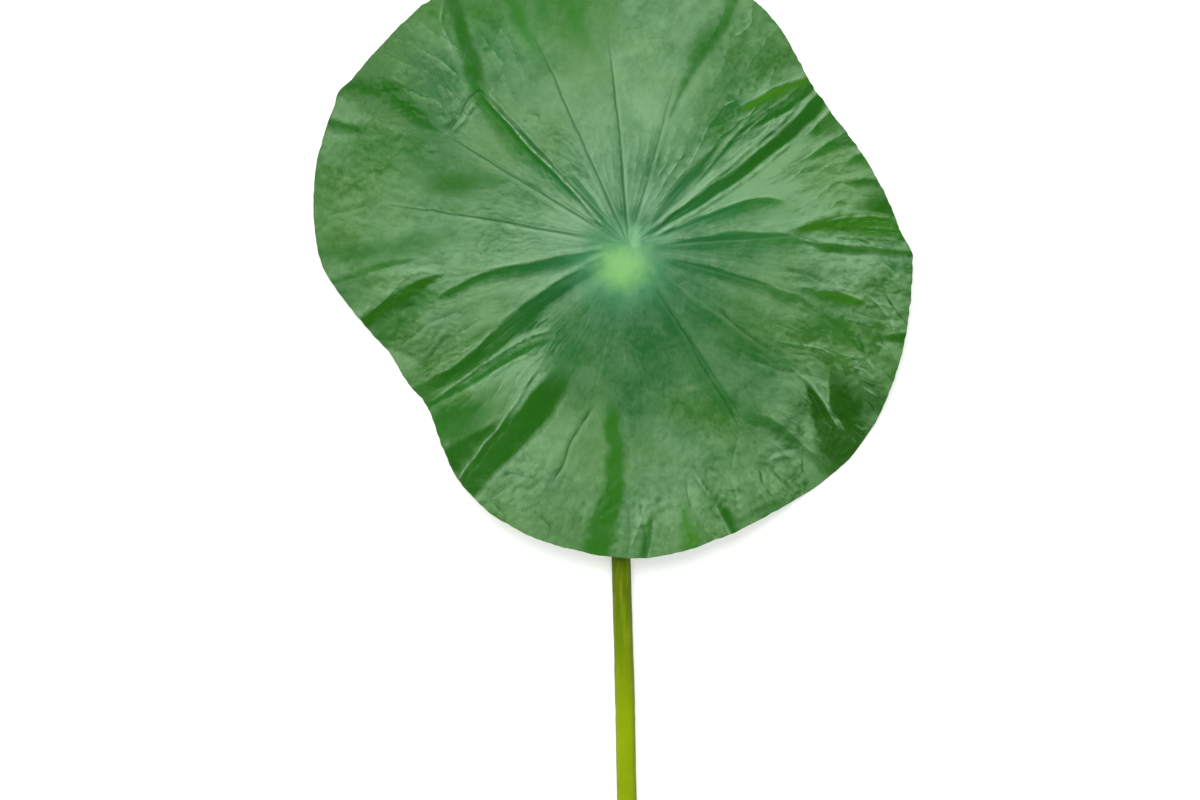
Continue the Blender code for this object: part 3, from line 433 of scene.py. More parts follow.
# The camera, straight above a point that is given in mm from the hub. All tables hold places as this camera sees
# them in a picture at 0.5 mm a pixel, in which what stands higher looks larger.
CAMERA_SPOT = (-14.0, -77.0)
CAMERA_HEIGHT = 1428.67
PICTURE_HEIGHT = 12.0

# The stage, in metres and watts: (name, place, size, power) of its soft lights, and how brightly floor and sky glow.
KEY_LIGHT = ("key", (-0.3, 0.95, 1.65), 1.4, 28.0)
FILL_LIGHT = ("fill", (0.3, -1.0, 2.1), 1.8, 9.0)
FLOOR_GLOW = 0.36
SKY_GLOW = 0.36

# The inputs of a Mix node for colours: how much of the upper one there is, the lower one and the upper one. Then the
# settings that make it mix colours, with its output for them.
SHARE, LOWER, UPPER = 0, 6, 7
COLOURS = {"data_type": "RGBA", "output": 2}


def linear(hex_colour):
    """A colour's linear values, from its sRGB hex text."""
    parts = [int(hex_colour[i : i + 2], 16) / 255.0 for i in (1, 3, 5)]
    return tuple(p / 12.92 if p <= 0.04045 else ((p + 0.055) / 1.055) ** 2.4 for p in parts)


def paint(colour):
    """A colour as a node takes it, with full alpha."""
    return (*colour, 1.0)


def rgba(hex_colour):
    """A colour as a node takes it, from its sRGB hex text."""
    return paint(linear(hex_colour))


def length_property(name, description, metres):
    return bpy.props.FloatProperty(name=name, description=description, default=metres, unit="LENGTH")


def colour_property(name, description, hex_colour):
    default = linear(hex_colour)
    return bpy.props.FloatVectorProperty(name=name, description=description, default=default, subtype="COLOR")


class LeafSizes(bpy.types.PropertyGroup):
    """Sizes of the leaf that a user would change."""

    thickness: length_property("Blade thickness", "Thickness of the blade between its ribs", 0.0008)
    rib_height: length_property("Rib height", "Height of the ribs under the blade, near the hub", 0.0024)
    crumple: length_property("Crumple", "Depth of the small wrinkles of the face", 0.00045)
    stalk_radius: length_property("Stalk radius", "Radius of the stalk under the blade", 0.0047)
    stalk_end_radius: length_property("Stalk end radius", "Radius of the stalk at its cut end", 0.0053)


class LeafColours(bpy.types.PropertyGroup):
    """Colours of the leaf that a user would change."""

    # Wax bloom is the pale of the wax and of the sheen painted on it, and leaf green the face where no sheen is
    # painted.
    pale: colour_property("Wax bloom", "Pale green of the face where its wax bloom is thick", "#76a272")
    green: colour_property("Leaf green", "Green of the face where its wax is thin", "#27672a")
    # Fold green and deep green are the colours of the shade painted on the flanks of folds.
    shade: colour_property("Fold green", "Green of the steep flanks of folds", "#1e6a14")
    deep: colour_property("Deep green", "Deepest green, in the largest folds", "#1c5500")
    lime: colour_property("Sunlit green", "Yellow green where light comes through a fold", "#4b9116")
    # Blue bloom is the pale bluish grey of the painted sheen near the hub.
    teal: colour_property("Blue bloom", "Bluer green of the young wax round the hub", "#80aa89")
    glow: colour_property("Hub green", "Pale yellow green of the hub", "#82c070")
    rim: colour_property("Dry rim", "Brown of the dry edge", "#6b5a44")
    under: colour_property("Underside green", "Dull pale green of the underside", "#8aa573")
    stalk: colour_property("Stalk green", "Yellow green of the stalk", "#91ac00")
    # Stalk olive is the colour of the shadow painted on the stalk near the blade.
    stalk_shadow: colour_property("Stalk olive", "Olive green of the stalk near the blade", "#546b00")
    floor: colour_property("Floor", "White of the stage's floor", "#fbfbfb")


def smooth_round(table, bearing):
    """Smooth value at a bearing in degrees, from a table of (bearing, value) that closes on itself."""
    bearings = np.array([row[0] for row in table], float)
    values = np.array([row[1] for row in table], float)
    count = len(table)
    bearing = np.mod(bearing, 360.0)
    after = np.searchsorted(bearings, bearing, side="right")
    before = (after - 1) % count
    after = after % count
    gap = np.mod(bearings[after] - bearings[before], 360.0)
    share = np.mod(bearing - bearings[before], 360.0) / gap
    gap_before = np.mod(bearings[before] - bearings[(before - 1) % count], 360.0)
    gap_after = np.mod(bearings[(after + 1) % count] - bearings[after], 360.0)
    slope_before = (values[after] - values[(before - 1) % count]) / (gap + gap_before)
    slope_after = (values[(after + 1) % count] - values[before]) / (gap + gap_after)
    square = share * share
    cube = square * share
    return (
        (2 * cube - 3 * square + 1) * values[before]
        + (cube - 2 * square + share) * gap * slope_before
        + (3 * square - 2 * cube) * values[after]
        + (cube - square) * gap * slope_after
    )


def smoothstep(value, low, high):
    """From 0 at low to 1 at high, with soft ends."""
    share = np.clip((value - low) / (high - low), 0.0, 1.0)
    return share * share * (3.0 - 2.0 * share)


def noise(x, y, seed):
    """Smooth noise between about -1 and 1, with a bump a unit across."""
    x0 = np.floor(x).astype(np.int64)
    y0 = np.floor(y).astype(np.int64)
    total = 0.0
    for dx in (0, 1):
        for dy in (0, 1):
            mixed = (x0 + dx) * 374761393 + (y0 + dy) * 668265263 + seed * 974634777
            mixed = (mixed ^ (mixed >> 13)) * 1274126177 & 0x7FFFFFFF
            angle = (mixed ^ (mixed >> 16)) % 4096 / 4096.0 * math.tau
            fx = x - x0 - dx
            fy = y - y0 - dy
            near = np.clip(1.0 - fx * fx, 0, 1) ** 2 * np.clip(1.0 - fy * fy, 0, 1) ** 2
            total = total + near * (np.cos(angle) * fx + np.sin(angle) * fy)
    return total * 2.2


def line_place(x, y, line):
    """Signed distance to the left of a line of points, the distance along it past its start, and left to its end."""
    points = np.array([spot[:2] for spot in line], float)
    steps = np.diff(points, axis=0)
    lengths = np.hypot(steps[:, 0], steps[:, 1])
    starts = np.concatenate([[0.0], np.cumsum(lengths)])
    best = np.full(x.shape, 1e9)
    side = np.zeros(x.shape)
    along = np.zeros(x.shape)
    for number, (step, length) in enumerate(zip(steps, lengths)):
        ux, uy = step / length
        px = x - points[number, 0]
        py = y - points[number, 1]
        raw = px * ux + py * uy
        low = -1e9 if number == 0 else 0.0
        high = 1e9 if number == len(steps) - 1 else length
        kept = np.clip(raw, low, high)
        gap = np.hypot(px - kept * ux, py - kept * uy)
        nearer = gap < best
        best = np.where(nearer, gap, best)
        side = np.where(nearer, np.where(ux * py - uy * px >= 0, 1.0, -1.0), side)
        along = np.where(nearer, starts[number] + kept, along)
    return best * side, along, starts[-1] - along, starts


def soft_ramp(value, radius):
    """Zero below zero and the value itself above, with a rounded corner."""
    return radius * np.logaddexp(0.0, value / radius)


def fold_parts(x, y, fold):
    """A fold's height in mm, how far inside its flank a point is (-1 to 1 is the blur of its edge), how dark its
    painted shade is, and how near a point is to the crest beyond a crisp edge, where a highlight is painted."""
    slope, dark, _, _, (left, right), line = fold
    across, along, left_over, starts = line_place(x, y, line)
    width = np.interp(along, starts, [spot[2] for spot in line])
    across = across + np.minimum(0.14 * width, 0.6) * noise(x / 12.0, y / 12.0, 41)
    share = across / width
    ramp = soft_ramp(share + 1.0, 0.5 - 0.38 * right) - soft_ramp(share - 1.0, 0.5 - 0.38 * left) - 1.0
    tail = 1.0 - smoothstep(np.abs(across), width, 3.2 * width + 3.0)
    begun = smoothstep(along, -1.0, 1.8 * width + 5.0)
    past_rim = math.hypot(*line[-1][:2]) > smooth_round(RIM, np.degrees(np.arctan2(line[-1][1], line[-1][0]))) - 6.0
    ended = 1.0 if past_rim else smoothstep(left_over, -1.0, 1.8 * width + 5.0)
    height = 0.75 * slope * np.minimum(width, 2.5 + 0.4 * width) * ramp * tail * begun * ended
    blur_left = 0.4 + 0.95 * (1.0 - left) * width
    blur_right = 0.4 + 0.95 * (1.0 - right) * width
    edge_left = width * (0.65 + 0.35 * left)
    edge_right = width * (0.65 + 0.35 * right)
    inside = np.minimum((edge_left - across) / blur_left, (edge_right + across) / blur_right)
    dark = dark * begun * ended
    bold = np.clip(2.0 * dark - 1.0, 0.0, 1.0)
    crest_left = smoothstep(left, 0.5, 1.0) * np.exp(-np.abs(across - edge_left) / 3.0)
    crest_right = smoothstep(right, 0.5, 1.0) * np.exp(-np.abs(across + edge_right) / 3.0)
    return height, np.clip(inside, FLANK_OUTSIDE, FLANK_INSIDE), dark, bold * np.maximum(crest_left, crest_right)


def shade_patch_share(x, y, patch):
    """How much of a soft patch of painted shade there is at each point: 1 in its middle, and nearly 0 past its length
    and width.
    """
    centre_x, centre_y, length, width, turn = patch[:5]
    cosine, sine = math.cos(math.radians(turn)), math.sin(math.radians(turn))
    along = (x - centre_x) * cosine + (y - centre_y) * sine
    across = (y - centre_y) * cosine - (x - centre_x) * sine
    return np.exp(-((along / length) ** 2) - (across / width) ** 2)


def blobs(x, y, table):
    """The sum of a table's soft round blobs at each point."""
    total = 0.0
    for centre_x, centre_y, radius, amount in table:
        total = total + amount * np.exp(-(((x - centre_x) / radius) ** 2 + ((y - centre_y) / radius) ** 2))
    return total


def place_spokes(turn, share):
    """Bearing in degrees of points, whose turn counts veins and parts of a vein."""
    near = np.array([vein[0] for vein in VEINS])
    far = np.array([vein[1] for vein in VEINS])
    vein = np.floor(turn).astype(int) % len(VEINS)
    following = (vein + 1) % len(VEINS)
    here = near[vein] + (far[vein] - near[vein]) * share
    there = near[following] + (far[following] - near[following]) * share
    return here + np.mod(there - here, 360.0) * (turn - np.floor(turn))


def rib_relief(turn, share, distance, height):
    """Height of the ribs, in mm: one down each vein, which splits in two at the fork."""
    side = np.abs(turn - np.round(turn))
    fork = FORK_SPREAD * np.clip((share - FORK) / (1.0 - FORK), 0.0, 1.0) ** 0.85
    across = np.abs(side - fork) * math.tau / len(VEINS) * np.maximum(distance, 1.0)
    width = RIB_HALF_WIDTH * (1.0 - 0.62 * share)
    crest = height * np.clip(1.0 - share / RIBS_END, 0.0, 1.0) ** 1.2
    return crest * np.clip(1.0 - (across / width) ** 2, 0.0, 1.0)


def vein_clearness(turn, share, bearing):
    """How clear the line of the nearest vein is at each point, from 0 to 1. Below the hub it starts further out."""
    vein = np.round(turn).astype(int) % len(VEINS)
    clear = np.array([row[2] for row in VEINS])[vein]
    fades = np.array([row[3] for row in VEINS])[vein]
    upper = 0.5 + 0.5 * np.sin(np.radians(bearing))
    begun = smoothstep(share, 0.16 - 0.13 * upper, 0.30 - 0.18 * upper)
    return clear * (1.0 - smoothstep(share, fades - 0.12, fades + 0.14)) * begun


def dome_height(share, bearing):
    """Height of the unfolded face in mm, at a share of the way out to the edge."""
    halfway = smooth_round(HALFWAY_HEIGHT, bearing)
    edge = smooth_round(EDGE_HEIGHT, bearing)
    inner = share / HALFWAY
    outer = (share - HALFWAY) / (1.0 - HALFWAY)
    slope = (edge - HUB_HEIGHT) * HALFWAY
    near = (
        (2 * inner**3 - 3 * inner**2 + 1) * HUB_HEIGHT
        + (3 * inner**2 - 2 * inner**3) * halfway
        + (inner**3 - inner**2) * slope
    )
    far_slope = slope * (1.0 - HALFWAY) / HALFWAY
    far = (
        (2 * outer**3 - 3 * outer**2 + 1) * halfway
        + (outer**3 - 2 * outer**2 + outer) * far_slope
        + (3 * outer**2 - 2 * outer**3) * edge
        + (outer**3 - outer**2) * (edge - halfway)
    )
    return np.where(share < HALFWAY, near, far)


def line_parts(x, y):
    """Height of the thin ridges and creases, how pale the painted highlight or dark the painted shade of the nearest
    one is, and how far up the leaf, towards the painted light, from it a point lies."""
    height = 0.0
    tone = np.zeros(x.shape)
    nearest = np.full(x.shape, 4.0)
    for lift, pale, line in LINES:
        across, along, left_over, starts = line_place(x, y, line)
        across = across + 0.35 * noise(x / 11.0, y / 11.0, 51)
        ends = smoothstep(np.minimum(along, left_over), -1.0, min(4.0, 0.2 * starts[-1]))
        ends = ends * (0.85 + 0.4 * noise(along / 5.0, along * 0.0, 52))
        top = np.exp(-((across / 1.2) ** 2))
        foot = np.exp(-(((np.abs(across) - 2.4) / 1.5) ** 2))
        height = height + lift * ends * (top - 0.4 * foot)
        (start_x, start_y), (end_x, end_y) = line[0], line[-1]
        upwards = (start_y - end_y) * PAINTED_LIGHT_SIDE[0] + (end_x - start_x) * PAINTED_LIGHT_SIDE[1]
        side = across * math.copysign(1.0, upwards)
        nearer = (np.abs(side) < np.abs(nearest)) & (ends > 0.02)
        tone = np.where(nearer, pale * ends, tone)
        nearest = np.where(nearer, side, nearest)
    return height, tone, nearest


def crest(value):
    """Turns a noise into sharp ridges, where it crosses zero."""
    return 1.0 - 2.4 * np.abs(value)


def wrinkle_height(x, y, turn, share, distance):
    """Small wrinkles of the face: pleats along the spokes near the edge, and a finer crumple in patches."""
    crumple = np.clip(blobs(x, y, CRUMPLE), 0.0, 1.15)
    outward = smoothstep(share, 0.45, 0.95)
    arc = turn * math.tau / len(VEINS)
    bend = 0.13 * noise(x / 19.0, y / 19.0, 3) + 0.05 * noise(x / 7.0, y / 7.0, 13)
    push = 9.0 * noise(x / 16.0, y / 16.0, 4) + 3.0 * noise(x / 6.0, y / 6.0, 14)
    pleats = noise((arc + 0.4 * bend) * 10.0, (distance + push) / 42.0, 11)
    ridges = crest(noise((arc + bend) * 19.0, (distance + push) / 24.0, 5))
    creases = crest(noise((arc + 1.4 * bend) * 38.0, (distance + push) / 13.0, 6))
    fine = noise((arc + bend) * 80.0, (distance + push) / 8.0, 7) * smoothstep(distance, 40, 110)
    across = crest(noise((arc + bend) * 9.0, (distance + 1.3 * push) / 7.0, 8)) * smoothstep(distance, 40, 70)
    patchy = np.clip(0.5 + 1.6 * noise(x / 13.0, y / 13.0, 15), 0.0, 1.2)
    total = 1.3 * pleats * outward * (0.35 + 0.65 * crumple)
    total = total + crumple * (0.70 * ridges + 0.45 * creases * patchy + 0.25 * across * (1.2 - patchy) + 0.25 * fine)
    return total + 0.03 * fine + 0.5 * noise(x / 21.0, y / 21.0, 12) * smoothstep(share, 0.1, 0.4)


def unfolded_height(x, y):
    """Height of the dome without folds at a place in mm."""
    bearing = np.degrees(np.arctan2(y, x))
    return dome_height(np.hypot(x, y) / smooth_round(RIM, bearing), bearing)


class LEAF_OT_blade(bpy.types.Operator):
    """Models the blade: an extruded disc, folded and wrinkled, with a wall and ribs"""

    bl_idname = "leaf.blade"
    bl_label = "Blade"

    def execute(self, context):
        sizes = context.scene.leaf_sizes
        blade = flat_disc()
        shape_blade(blade, sizes)
        wall_blade(blade, sizes)
        for slot, make in enumerate((waxy_face, dull_underside, dry_edge)):
            blade.data.materials[slot] = make(context.scene.leaf_colours)
        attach(blade, "root")
        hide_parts("leaf_blade")
        return {"FINISHED"}


def flat_disc():
    """A flat disc of radius 1, extruded outwards ring by ring from a small fan. Its spokes double twice."""
    bpy.ops.object.select_all(action="DESELECT")
    most = SPOKES_PER_VEIN * len(VEINS)
    rings = [FIRST_RING + (1.0 - FIRST_RING) * ring / RINGS for ring in range(RINGS + 1)]
    bpy.ops.mesh.primitive_circle_add(vertices=most // 4, radius=rings[0], fill_type="TRIFAN")
    disc = bpy.context.object
    disc.name = "dressed_blade"
    bpy.ops.object.mode_set(mode="EDIT")
    bpy.ops.mesh.select_all(action="SELECT")
    bpy.ops.mesh.region_to_loop()
    for inner, outer in zip(rings, rings[1:]):
        if any(inner < doubling <= outer for doubling in DOUBLING_RINGS):
            bpy.ops.mesh.subdivide(number_cuts=1)
        bpy.ops.mesh.extrude_edges_move()
        bpy.ops.transform.resize(value=(outer / inner, outer / inner, 1.0))
    bpy.ops.mesh.select_all(action="SELECT")
    bpy.ops.mesh.quads_convert_to_tris(quad_method="SHORTEST_DIAGONAL")
    bpy.ops.mesh.normals_make_consistent(inside=False)
    bpy.ops.object.mode_set(mode="OBJECT")
    if disc.data.polygons[0].normal.z < 0:
        disc.data.flip_normals()
    return disc


def shape_blade(blade, sizes):
    """Moves each point of the disc to its place on the folded face, and keeps what the materials need with it."""
    mesh = blade.data
    count = len(mesh.vertices)
    places = np.empty(count * 3)
    mesh.vertices.foreach_get("co", places)
    places = places.reshape(-1, 3)
    share = np.hypot(places[:, 0], places[:, 1])
    turn = np.mod(np.arctan2(places[:, 1], places[:, 0]) / math.tau, 1.0) * len(VEINS)
    turn = np.mod(np.round(turn * SPOKES_PER_VEIN) / SPOKES_PER_VEIN, len(VEINS))
    bearing = place_spokes(turn, share)
    reach = smooth_round(RIM, bearing)
    ragged = 0.35 * noise(bearing / 4.3, bearing * 0.0, 21) + 0.25 * noise(bearing / 1.3, bearing * 0.0, 22)
    reach = reach + ragged * (0.5 + 0.8 * np.abs(noise(bearing / 17.0, bearing * 0.0, 23)))
    distance = share * reach
    x = distance * np.cos(np.radians(bearing))
    y = distance * np.sin(np.radians(bearing))

    height = dome_height(share, bearing) - DIMPLE_DEPTH * np.exp(-((distance / DIMPLE_RADIUS) ** 2))
    # The folds and patches paint shade where a flank is turned from the light, and the folds a highlight at their crisp
    # crests.
    flank = np.full(count, FLANK_OUTSIDE)
    flank_dark = np.full(count, 1e-6)
    flank_weight = np.full(count, 1e-5)
    unshaded = np.ones(count)
    weight = np.full(count, 1e-3)
    deep = np.zeros(count)
    lime = np.zeros(count)
    crests = np.zeros(count)
    for fold in FOLDS:
        _, _, fold_deep, fold_lime, _, _ = fold
        lift, inside, dark, near_crest = fold_parts(x, y, fold)
        height += lift
        crests = np.maximum(crests, near_crest)
        flank = np.maximum(flank, np.where(dark > 0.01, inside, FLANK_OUTSIDE))
        nearness = np.exp(1.5 * np.minimum(inside, 1.5)) * dark
        flank_dark += nearness * dark
        flank_weight += nearness
        weight += nearness * dark
        deep += nearness * dark * fold_deep
        lime += nearness * dark * fold_lime
    for patch in SHADE_PATCHES:
        patch_dark, patch_deep, patch_lime = patch[5:]
        dark = patch_dark * shade_patch_share(x, y, patch)
        unshaded *= 1.0 - dark
        weight += dark
        deep += dark * patch_deep
        lime += dark * patch_lime
    line_lift, line_tone, line_side = line_parts(x, y)
    height += line_lift
    height += wrinkle_height(x, y, turn, share, distance) * sizes.crumple / MM
    relief = rib_relief(turn, share, distance, sizes.rib_height / MM)
    clear = vein_clearness(turn, share, bearing)
    height -= VEIN_SINK * relief * clear
    height = np.maximum(height, sizes.thickness / MM + relief)

    # What stands higher looks larger to the camera, so it is drawn in to where the picture has it.
    nearer = (CAMERA_HEIGHT - height) / (CAMERA_HEIGHT - PICTURE_HEIGHT)
    true_x = CAMERA_SPOT[0] + (x - CAMERA_SPOT[0]) * nearer
    true_y = CAMERA_SPOT[1] + (y - CAMERA_SPOT[1]) * nearer
    placed = np.stack([true_x * MM + HUB.x, true_y * MM + HUB.y, height * MM], axis=1)
    mesh.vertices.foreach_set("co", placed.ravel())
    mesh.update()
    normals = np.empty(count * 3, np.float32)
    mesh.vertex_normals.foreach_get("vector", normals)
    normals = normals.reshape(-1, 3)
    # How much more a point faces up the leaf than the dome without folds does there; the face is painted paler where it
    # faces that way, as sheen, and darker where it faces away.
    side_x, side_y = PAINTED_LIGHT_SIDE
    tilt = (normals[:, 0] * side_x + normals[:, 1] * side_y) / np.maximum(normals[:, 2], 0.2)
    plain_tilt = unfolded_height(x - side_x, y - side_y) - unfolded_height(x + side_x, y + side_y)
    keep = {
        "flank": flank,
        "fold": flank_dark / flank_weight,
        "patch": 1.0 - unshaded,
        "deep": np.clip(deep / weight, 0.0, 1.0),
        "lime": np.clip(lime / weight, 0.0, 1.0),
        "line": np.clip(line_tone, -1.0, 1.0),
        "line_side": line_side,
        "bloom_and_sheen": np.clip(0.24 + blobs(x, y, BLOOM), 0.0, 1.0),
        "reach": distance,
        "crumple": np.clip(blobs(x, y, CRUMPLE), 0.0, 1.15),
        "rib": relief,
        "clear": clear,
        "crest": crests,
        "pleat": blobs(x, y, PLEATS),
        "tilt": np.clip(tilt - plain_tilt / 2.0, -0.6, 0.6),
    }
    for name, values in keep.items():
        layer = mesh.attributes.new(name, "FLOAT", "POINT")
        layer.data.foreach_set("value", values.astype(np.float32))
    group = blade.vertex_groups.new(name="thickness")
    thickest = (sizes.thickness + sizes.rib_height) / MM
    for index, value in enumerate((sizes.thickness / MM + relief) / thickest):
        group.add([index], float(value), "REPLACE")
    unwrap_blade(mesh, turn, share)


def unwrap_blade(mesh, turn, share):
    """A UV map whose U counts veins round the blade and whose V is the share of the way out."""
    corners = np.empty(len(mesh.loops), np.int32)
    mesh.loops.foreach_get("vertex_index", corners)
    u = (turn[corners] / len(VEINS)).reshape(-1, 3)
    v = share[corners].reshape(-1, 3)
    u = np.where(u < u.max(axis=1, keepdims=True) - 0.5, u + 1.0, u)
    centre = v < 1e-6
    middle = np.where(centre, 0.0, u).sum(axis=1, keepdims=True) / np.maximum((~centre).sum(axis=1, keepdims=True), 1)
    u = np.where(centre, middle, u)
    layer = mesh.uv_layers.new(name="spokes")
    layer.data.foreach_set("uv", np.stack([u, v], axis=2).astype(np.float32).ravel())


def wall_blade(blade, sizes):
    """Gives the face its wall, thicker along the ribs, and thins out the underside's mesh."""
    wall = blade.modifiers.new("wall", "SOLIDIFY")
    wall.thickness = sizes.thickness + sizes.rib_height
    wall.offset = -1.0
    wall.vertex_group = "thickness"
    wall.use_quality_normals = True
    wall.material_offset = SLOTS.index("underside")
    wall.material_offset_rim = SLOTS.index("rim")
    bpy.ops.object.select_all(action="DESELECT")
    blade.select_set(True)
    bpy.context.view_layer.objects.active = blade
    for _ in SLOTS:
        blade.data.materials.append(None)
    bpy.ops.object.modifier_apply(modifier=wall.name)
    mesh = blade.data
    slots = np.empty(len(mesh.polygons), np.int32)
    mesh.polygons.foreach_get("material_index", slots)
    bpy.ops.object.mode_set(mode="EDIT")
    bpy.ops.mesh.select_mode(type="FACE")
    bpy.ops.mesh.select_all(action="DESELECT")
    bpy.ops.object.mode_set(mode="OBJECT")
    mesh.polygons.foreach_set("select", slots == SLOTS.index("underside"))
    bpy.ops.object.mode_set(mode="EDIT")
    bpy.ops.mesh.decimate(ratio=UNDERSIDE_KEPT)
    bpy.ops.object.mode_set(mode="OBJECT")
    bpy.ops.object.shade_smooth_by_angle(angle=math.radians(70.0))


def stalk_line(sizes):
    """Points along the stalk's middle line with the radius at each, in mm from the point under the hub."""
    radius = sizes.stalk_radius / MM
    end_radius = sizes.stalk_end_radius / MM
    bend_top = radius + STALK_BEND_RADIUS
    points = [(0.0, 0.0, height, wide) for height, wide in STALK_TOP + [(bend_top, radius)]]
    for step in range(1, BEND_STEPS + 1):
        angle = math.radians(90.0 * step / BEND_STEPS)
        back = STALK_BEND_RADIUS * (1.0 - math.cos(angle))
        points.append((sway(back), -back, bend_top - STALK_BEND_RADIUS * math.sin(angle), radius))
    lying = STALK_REACH - STALK_BEND_RADIUS
    for step in range(1, STALK_STEPS + 1):
        share = step / STALK_STEPS
        back = STALK_BEND_RADIUS + lying * share
        here = radius + (end_radius - radius) * share
        points.append((sway(back), -back, here + math.sin(math.pi * share), here))
    return points


def sway(back):
    """The stalk's offset along X at a distance back from the hub, on a smooth line through its table."""
    before = [STALK_SWAY[0]] + STALK_SWAY
    after = STALK_SWAY[2:] + [STALK_SWAY[-1]]
    for (x0, y0), (x1, y1), (x2, y2), (x3, y3) in zip(before, STALK_SWAY, STALK_SWAY[1:], after):
        if back <= x2 or x2 == STALK_SWAY[-1][0]:
            share = (back - x1) / (x2 - x1)
            slope1 = (y2 - y0) / max(x2 - x0, 1.0) * (x2 - x1)
            slope2 = (y3 - y1) / max(x3 - x1, 1.0) * (x2 - x1)
            return (
                (2 * share**3 - 3 * share**2 + 1) * y1
                + (share**3 - 2 * share**2 + share) * slope1
                + (3 * share**2 - 2 * share**3) * y2
                + (share**3 - share**2) * slope2
            )
    return 0.0


class LEAF_OT_stalk(bpy.types.Operator):
    """Models the stalk: a bent tube with faint ribs, a slanting cut and air canals"""

    bl_idname = "leaf.stalk"
    bl_label = "Stalk"

    def execute(self, context):
        sizes = context.scene.leaf_sizes
        stalk = stalk_tube(sizes)
        roughen_stalk(stalk, sizes)
        cut_stalk(stalk, sizes)
        mark_stalk(stalk, sizes)
        stalk.data.materials.append(smooth_stalk(context.scene.leaf_colours))
        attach(stalk, "root")
        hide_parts("leaf_stalk")
        return {"FINISHED"}


def stalk_tube(sizes):
    """The stalk as a bevelled curve that is then made a mesh, with its caps welded on."""
    bpy.ops.object.select_all(action="DESELECT")
    points = stalk_line(sizes)
    curve = bpy.data.curves.new("dressed_stalk", "CURVE")
    curve.dimensions = "3D"
    curve.bevel_depth = MM
    curve.bevel_resolution = 10
    curve.use_fill_caps = True
    spline = curve.splines.new("POLY")
    spline.points.add(len(points) - 1)
    for spot, (x, y, z, radius) in zip(spline.points, points):
        spot.co = (x * MM + HUB.x, y * MM + HUB.y, z * MM, 1.0)
        spot.radius = radius
    stalk = bpy.data.objects.new("dressed_stalk", curve)
    bpy.context.scene.collection.objects.link(stalk)
    stalk.select_set(True)
    bpy.context.view_layer.objects.active = stalk
    bpy.ops.object.convert(target="MESH")
    stalk = bpy.context.object
    bpy.ops.object.mode_set(mode="EDIT")
    bpy.ops.mesh.select_all(action="SELECT")
    bpy.ops.mesh.remove_doubles(threshold=0.00001)
    bpy.ops.mesh.normals_make_consistent(inside=False)
    bpy.ops.object.mode_set(mode="OBJECT")
    return stalk


def stalk_places(stalk, sizes):
    """Each point of the stalk, its way out from the middle line, and its distance back from the hub in mm."""
    mesh = stalk.data
    places = np.empty(len(mesh.vertices) * 3)
    mesh.vertices.foreach_get("co", places)
    places = places.reshape(-1, 3)
    line = np.array(stalk_line(sizes))
    middles = line[:, :3] * MM + np.array([HUB.x, HUB.y, 0.0])
    near = ((places[:, None, :] - middles[None, :, :]) ** 2).sum(axis=2).argmin(axis=1)
    return places, places - middles[near], (HUB.y - places[:, 1]) / MM


def roughen_stalk(stalk, sizes):
    """Ribs along the stalk, a faint ring, and a little unevenness."""
    places, out, back = stalk_places(stalk, sizes)
    far = np.linalg.norm(out, axis=1)
    angle = np.arctan2(out[:, 2], out[:, 0])
    uneven = -0.10 + 0.05 * np.cos(angle * 9.0) + 0.16 * noise(back / 26.0, angle * 0.0, 31)
    uneven = uneven + 0.08 * noise(back / 7.0, angle * 1.3, 32)
    uneven = np.minimum(uneven + 0.22 * np.exp(-(((back - STALK_RING) / 1.6) ** 2)), 0.0)
    free = smoothstep(back, 24.0, 60.0)
    places += out / np.maximum(far, 1e-6)[:, None] * (uneven * free * MM * (far > 0.003))[:, None]
    stalk.data.vertices.foreach_set("co", places.ravel())
    stalk.data.shade_smooth()


def cut_stalk(stalk, sizes):
    """Cuts the end on the slant and opens the air canals, with one Boolean for each tool."""
    end_x, end_y, end_z, _ = stalk_line(sizes)[-1]
    turn = math.radians(CUT_SLANT)
    inset = sizes.stalk_end_radius / MM * math.tan(turn)
    half = CUT_BLOCK / 2
    tools = []
    bpy.ops.object.select_all(action="DESELECT")
    place = Vector((end_x, end_y + inset - half * math.cos(turn), end_z + half * math.sin(turn)))
    bpy.ops.mesh.primitive_cube_add(size=CUT_BLOCK * MM, location=place * MM + HUB, rotation=(-turn, 0.0, 0.0))
    tools.append(bpy.context.object)
    for across, up, radius in CANALS:
        place = Vector((end_x + across, end_y + inset + up * math.tan(turn), end_z + up))
        bpy.ops.mesh.primitive_cylinder_add(
            vertices=20, radius=radius * MM, depth=2.0 * CANAL_DEPTH * MM, location=place * MM + HUB,
            rotation=(math.pi / 2, 0, 0),
        )
        tools.append(bpy.context.object)
    bpy.context.view_layer.objects.active = stalk
    for tool in tools:
        cut = stalk.modifiers.new("cut", "BOOLEAN")
        cut.operation = "DIFFERENCE"
        cut.object = tool
        cut.solver = "EXACT"
        bpy.ops.object.modifier_apply(modifier=cut.name)
    for tool in tools:
        bpy.data.objects.remove(tool)
    bpy.ops.object.select_all(action="DESELECT")
    stalk.select_set(True)
    bpy.ops.object.shade_smooth_by_angle(angle=math.radians(40.0))


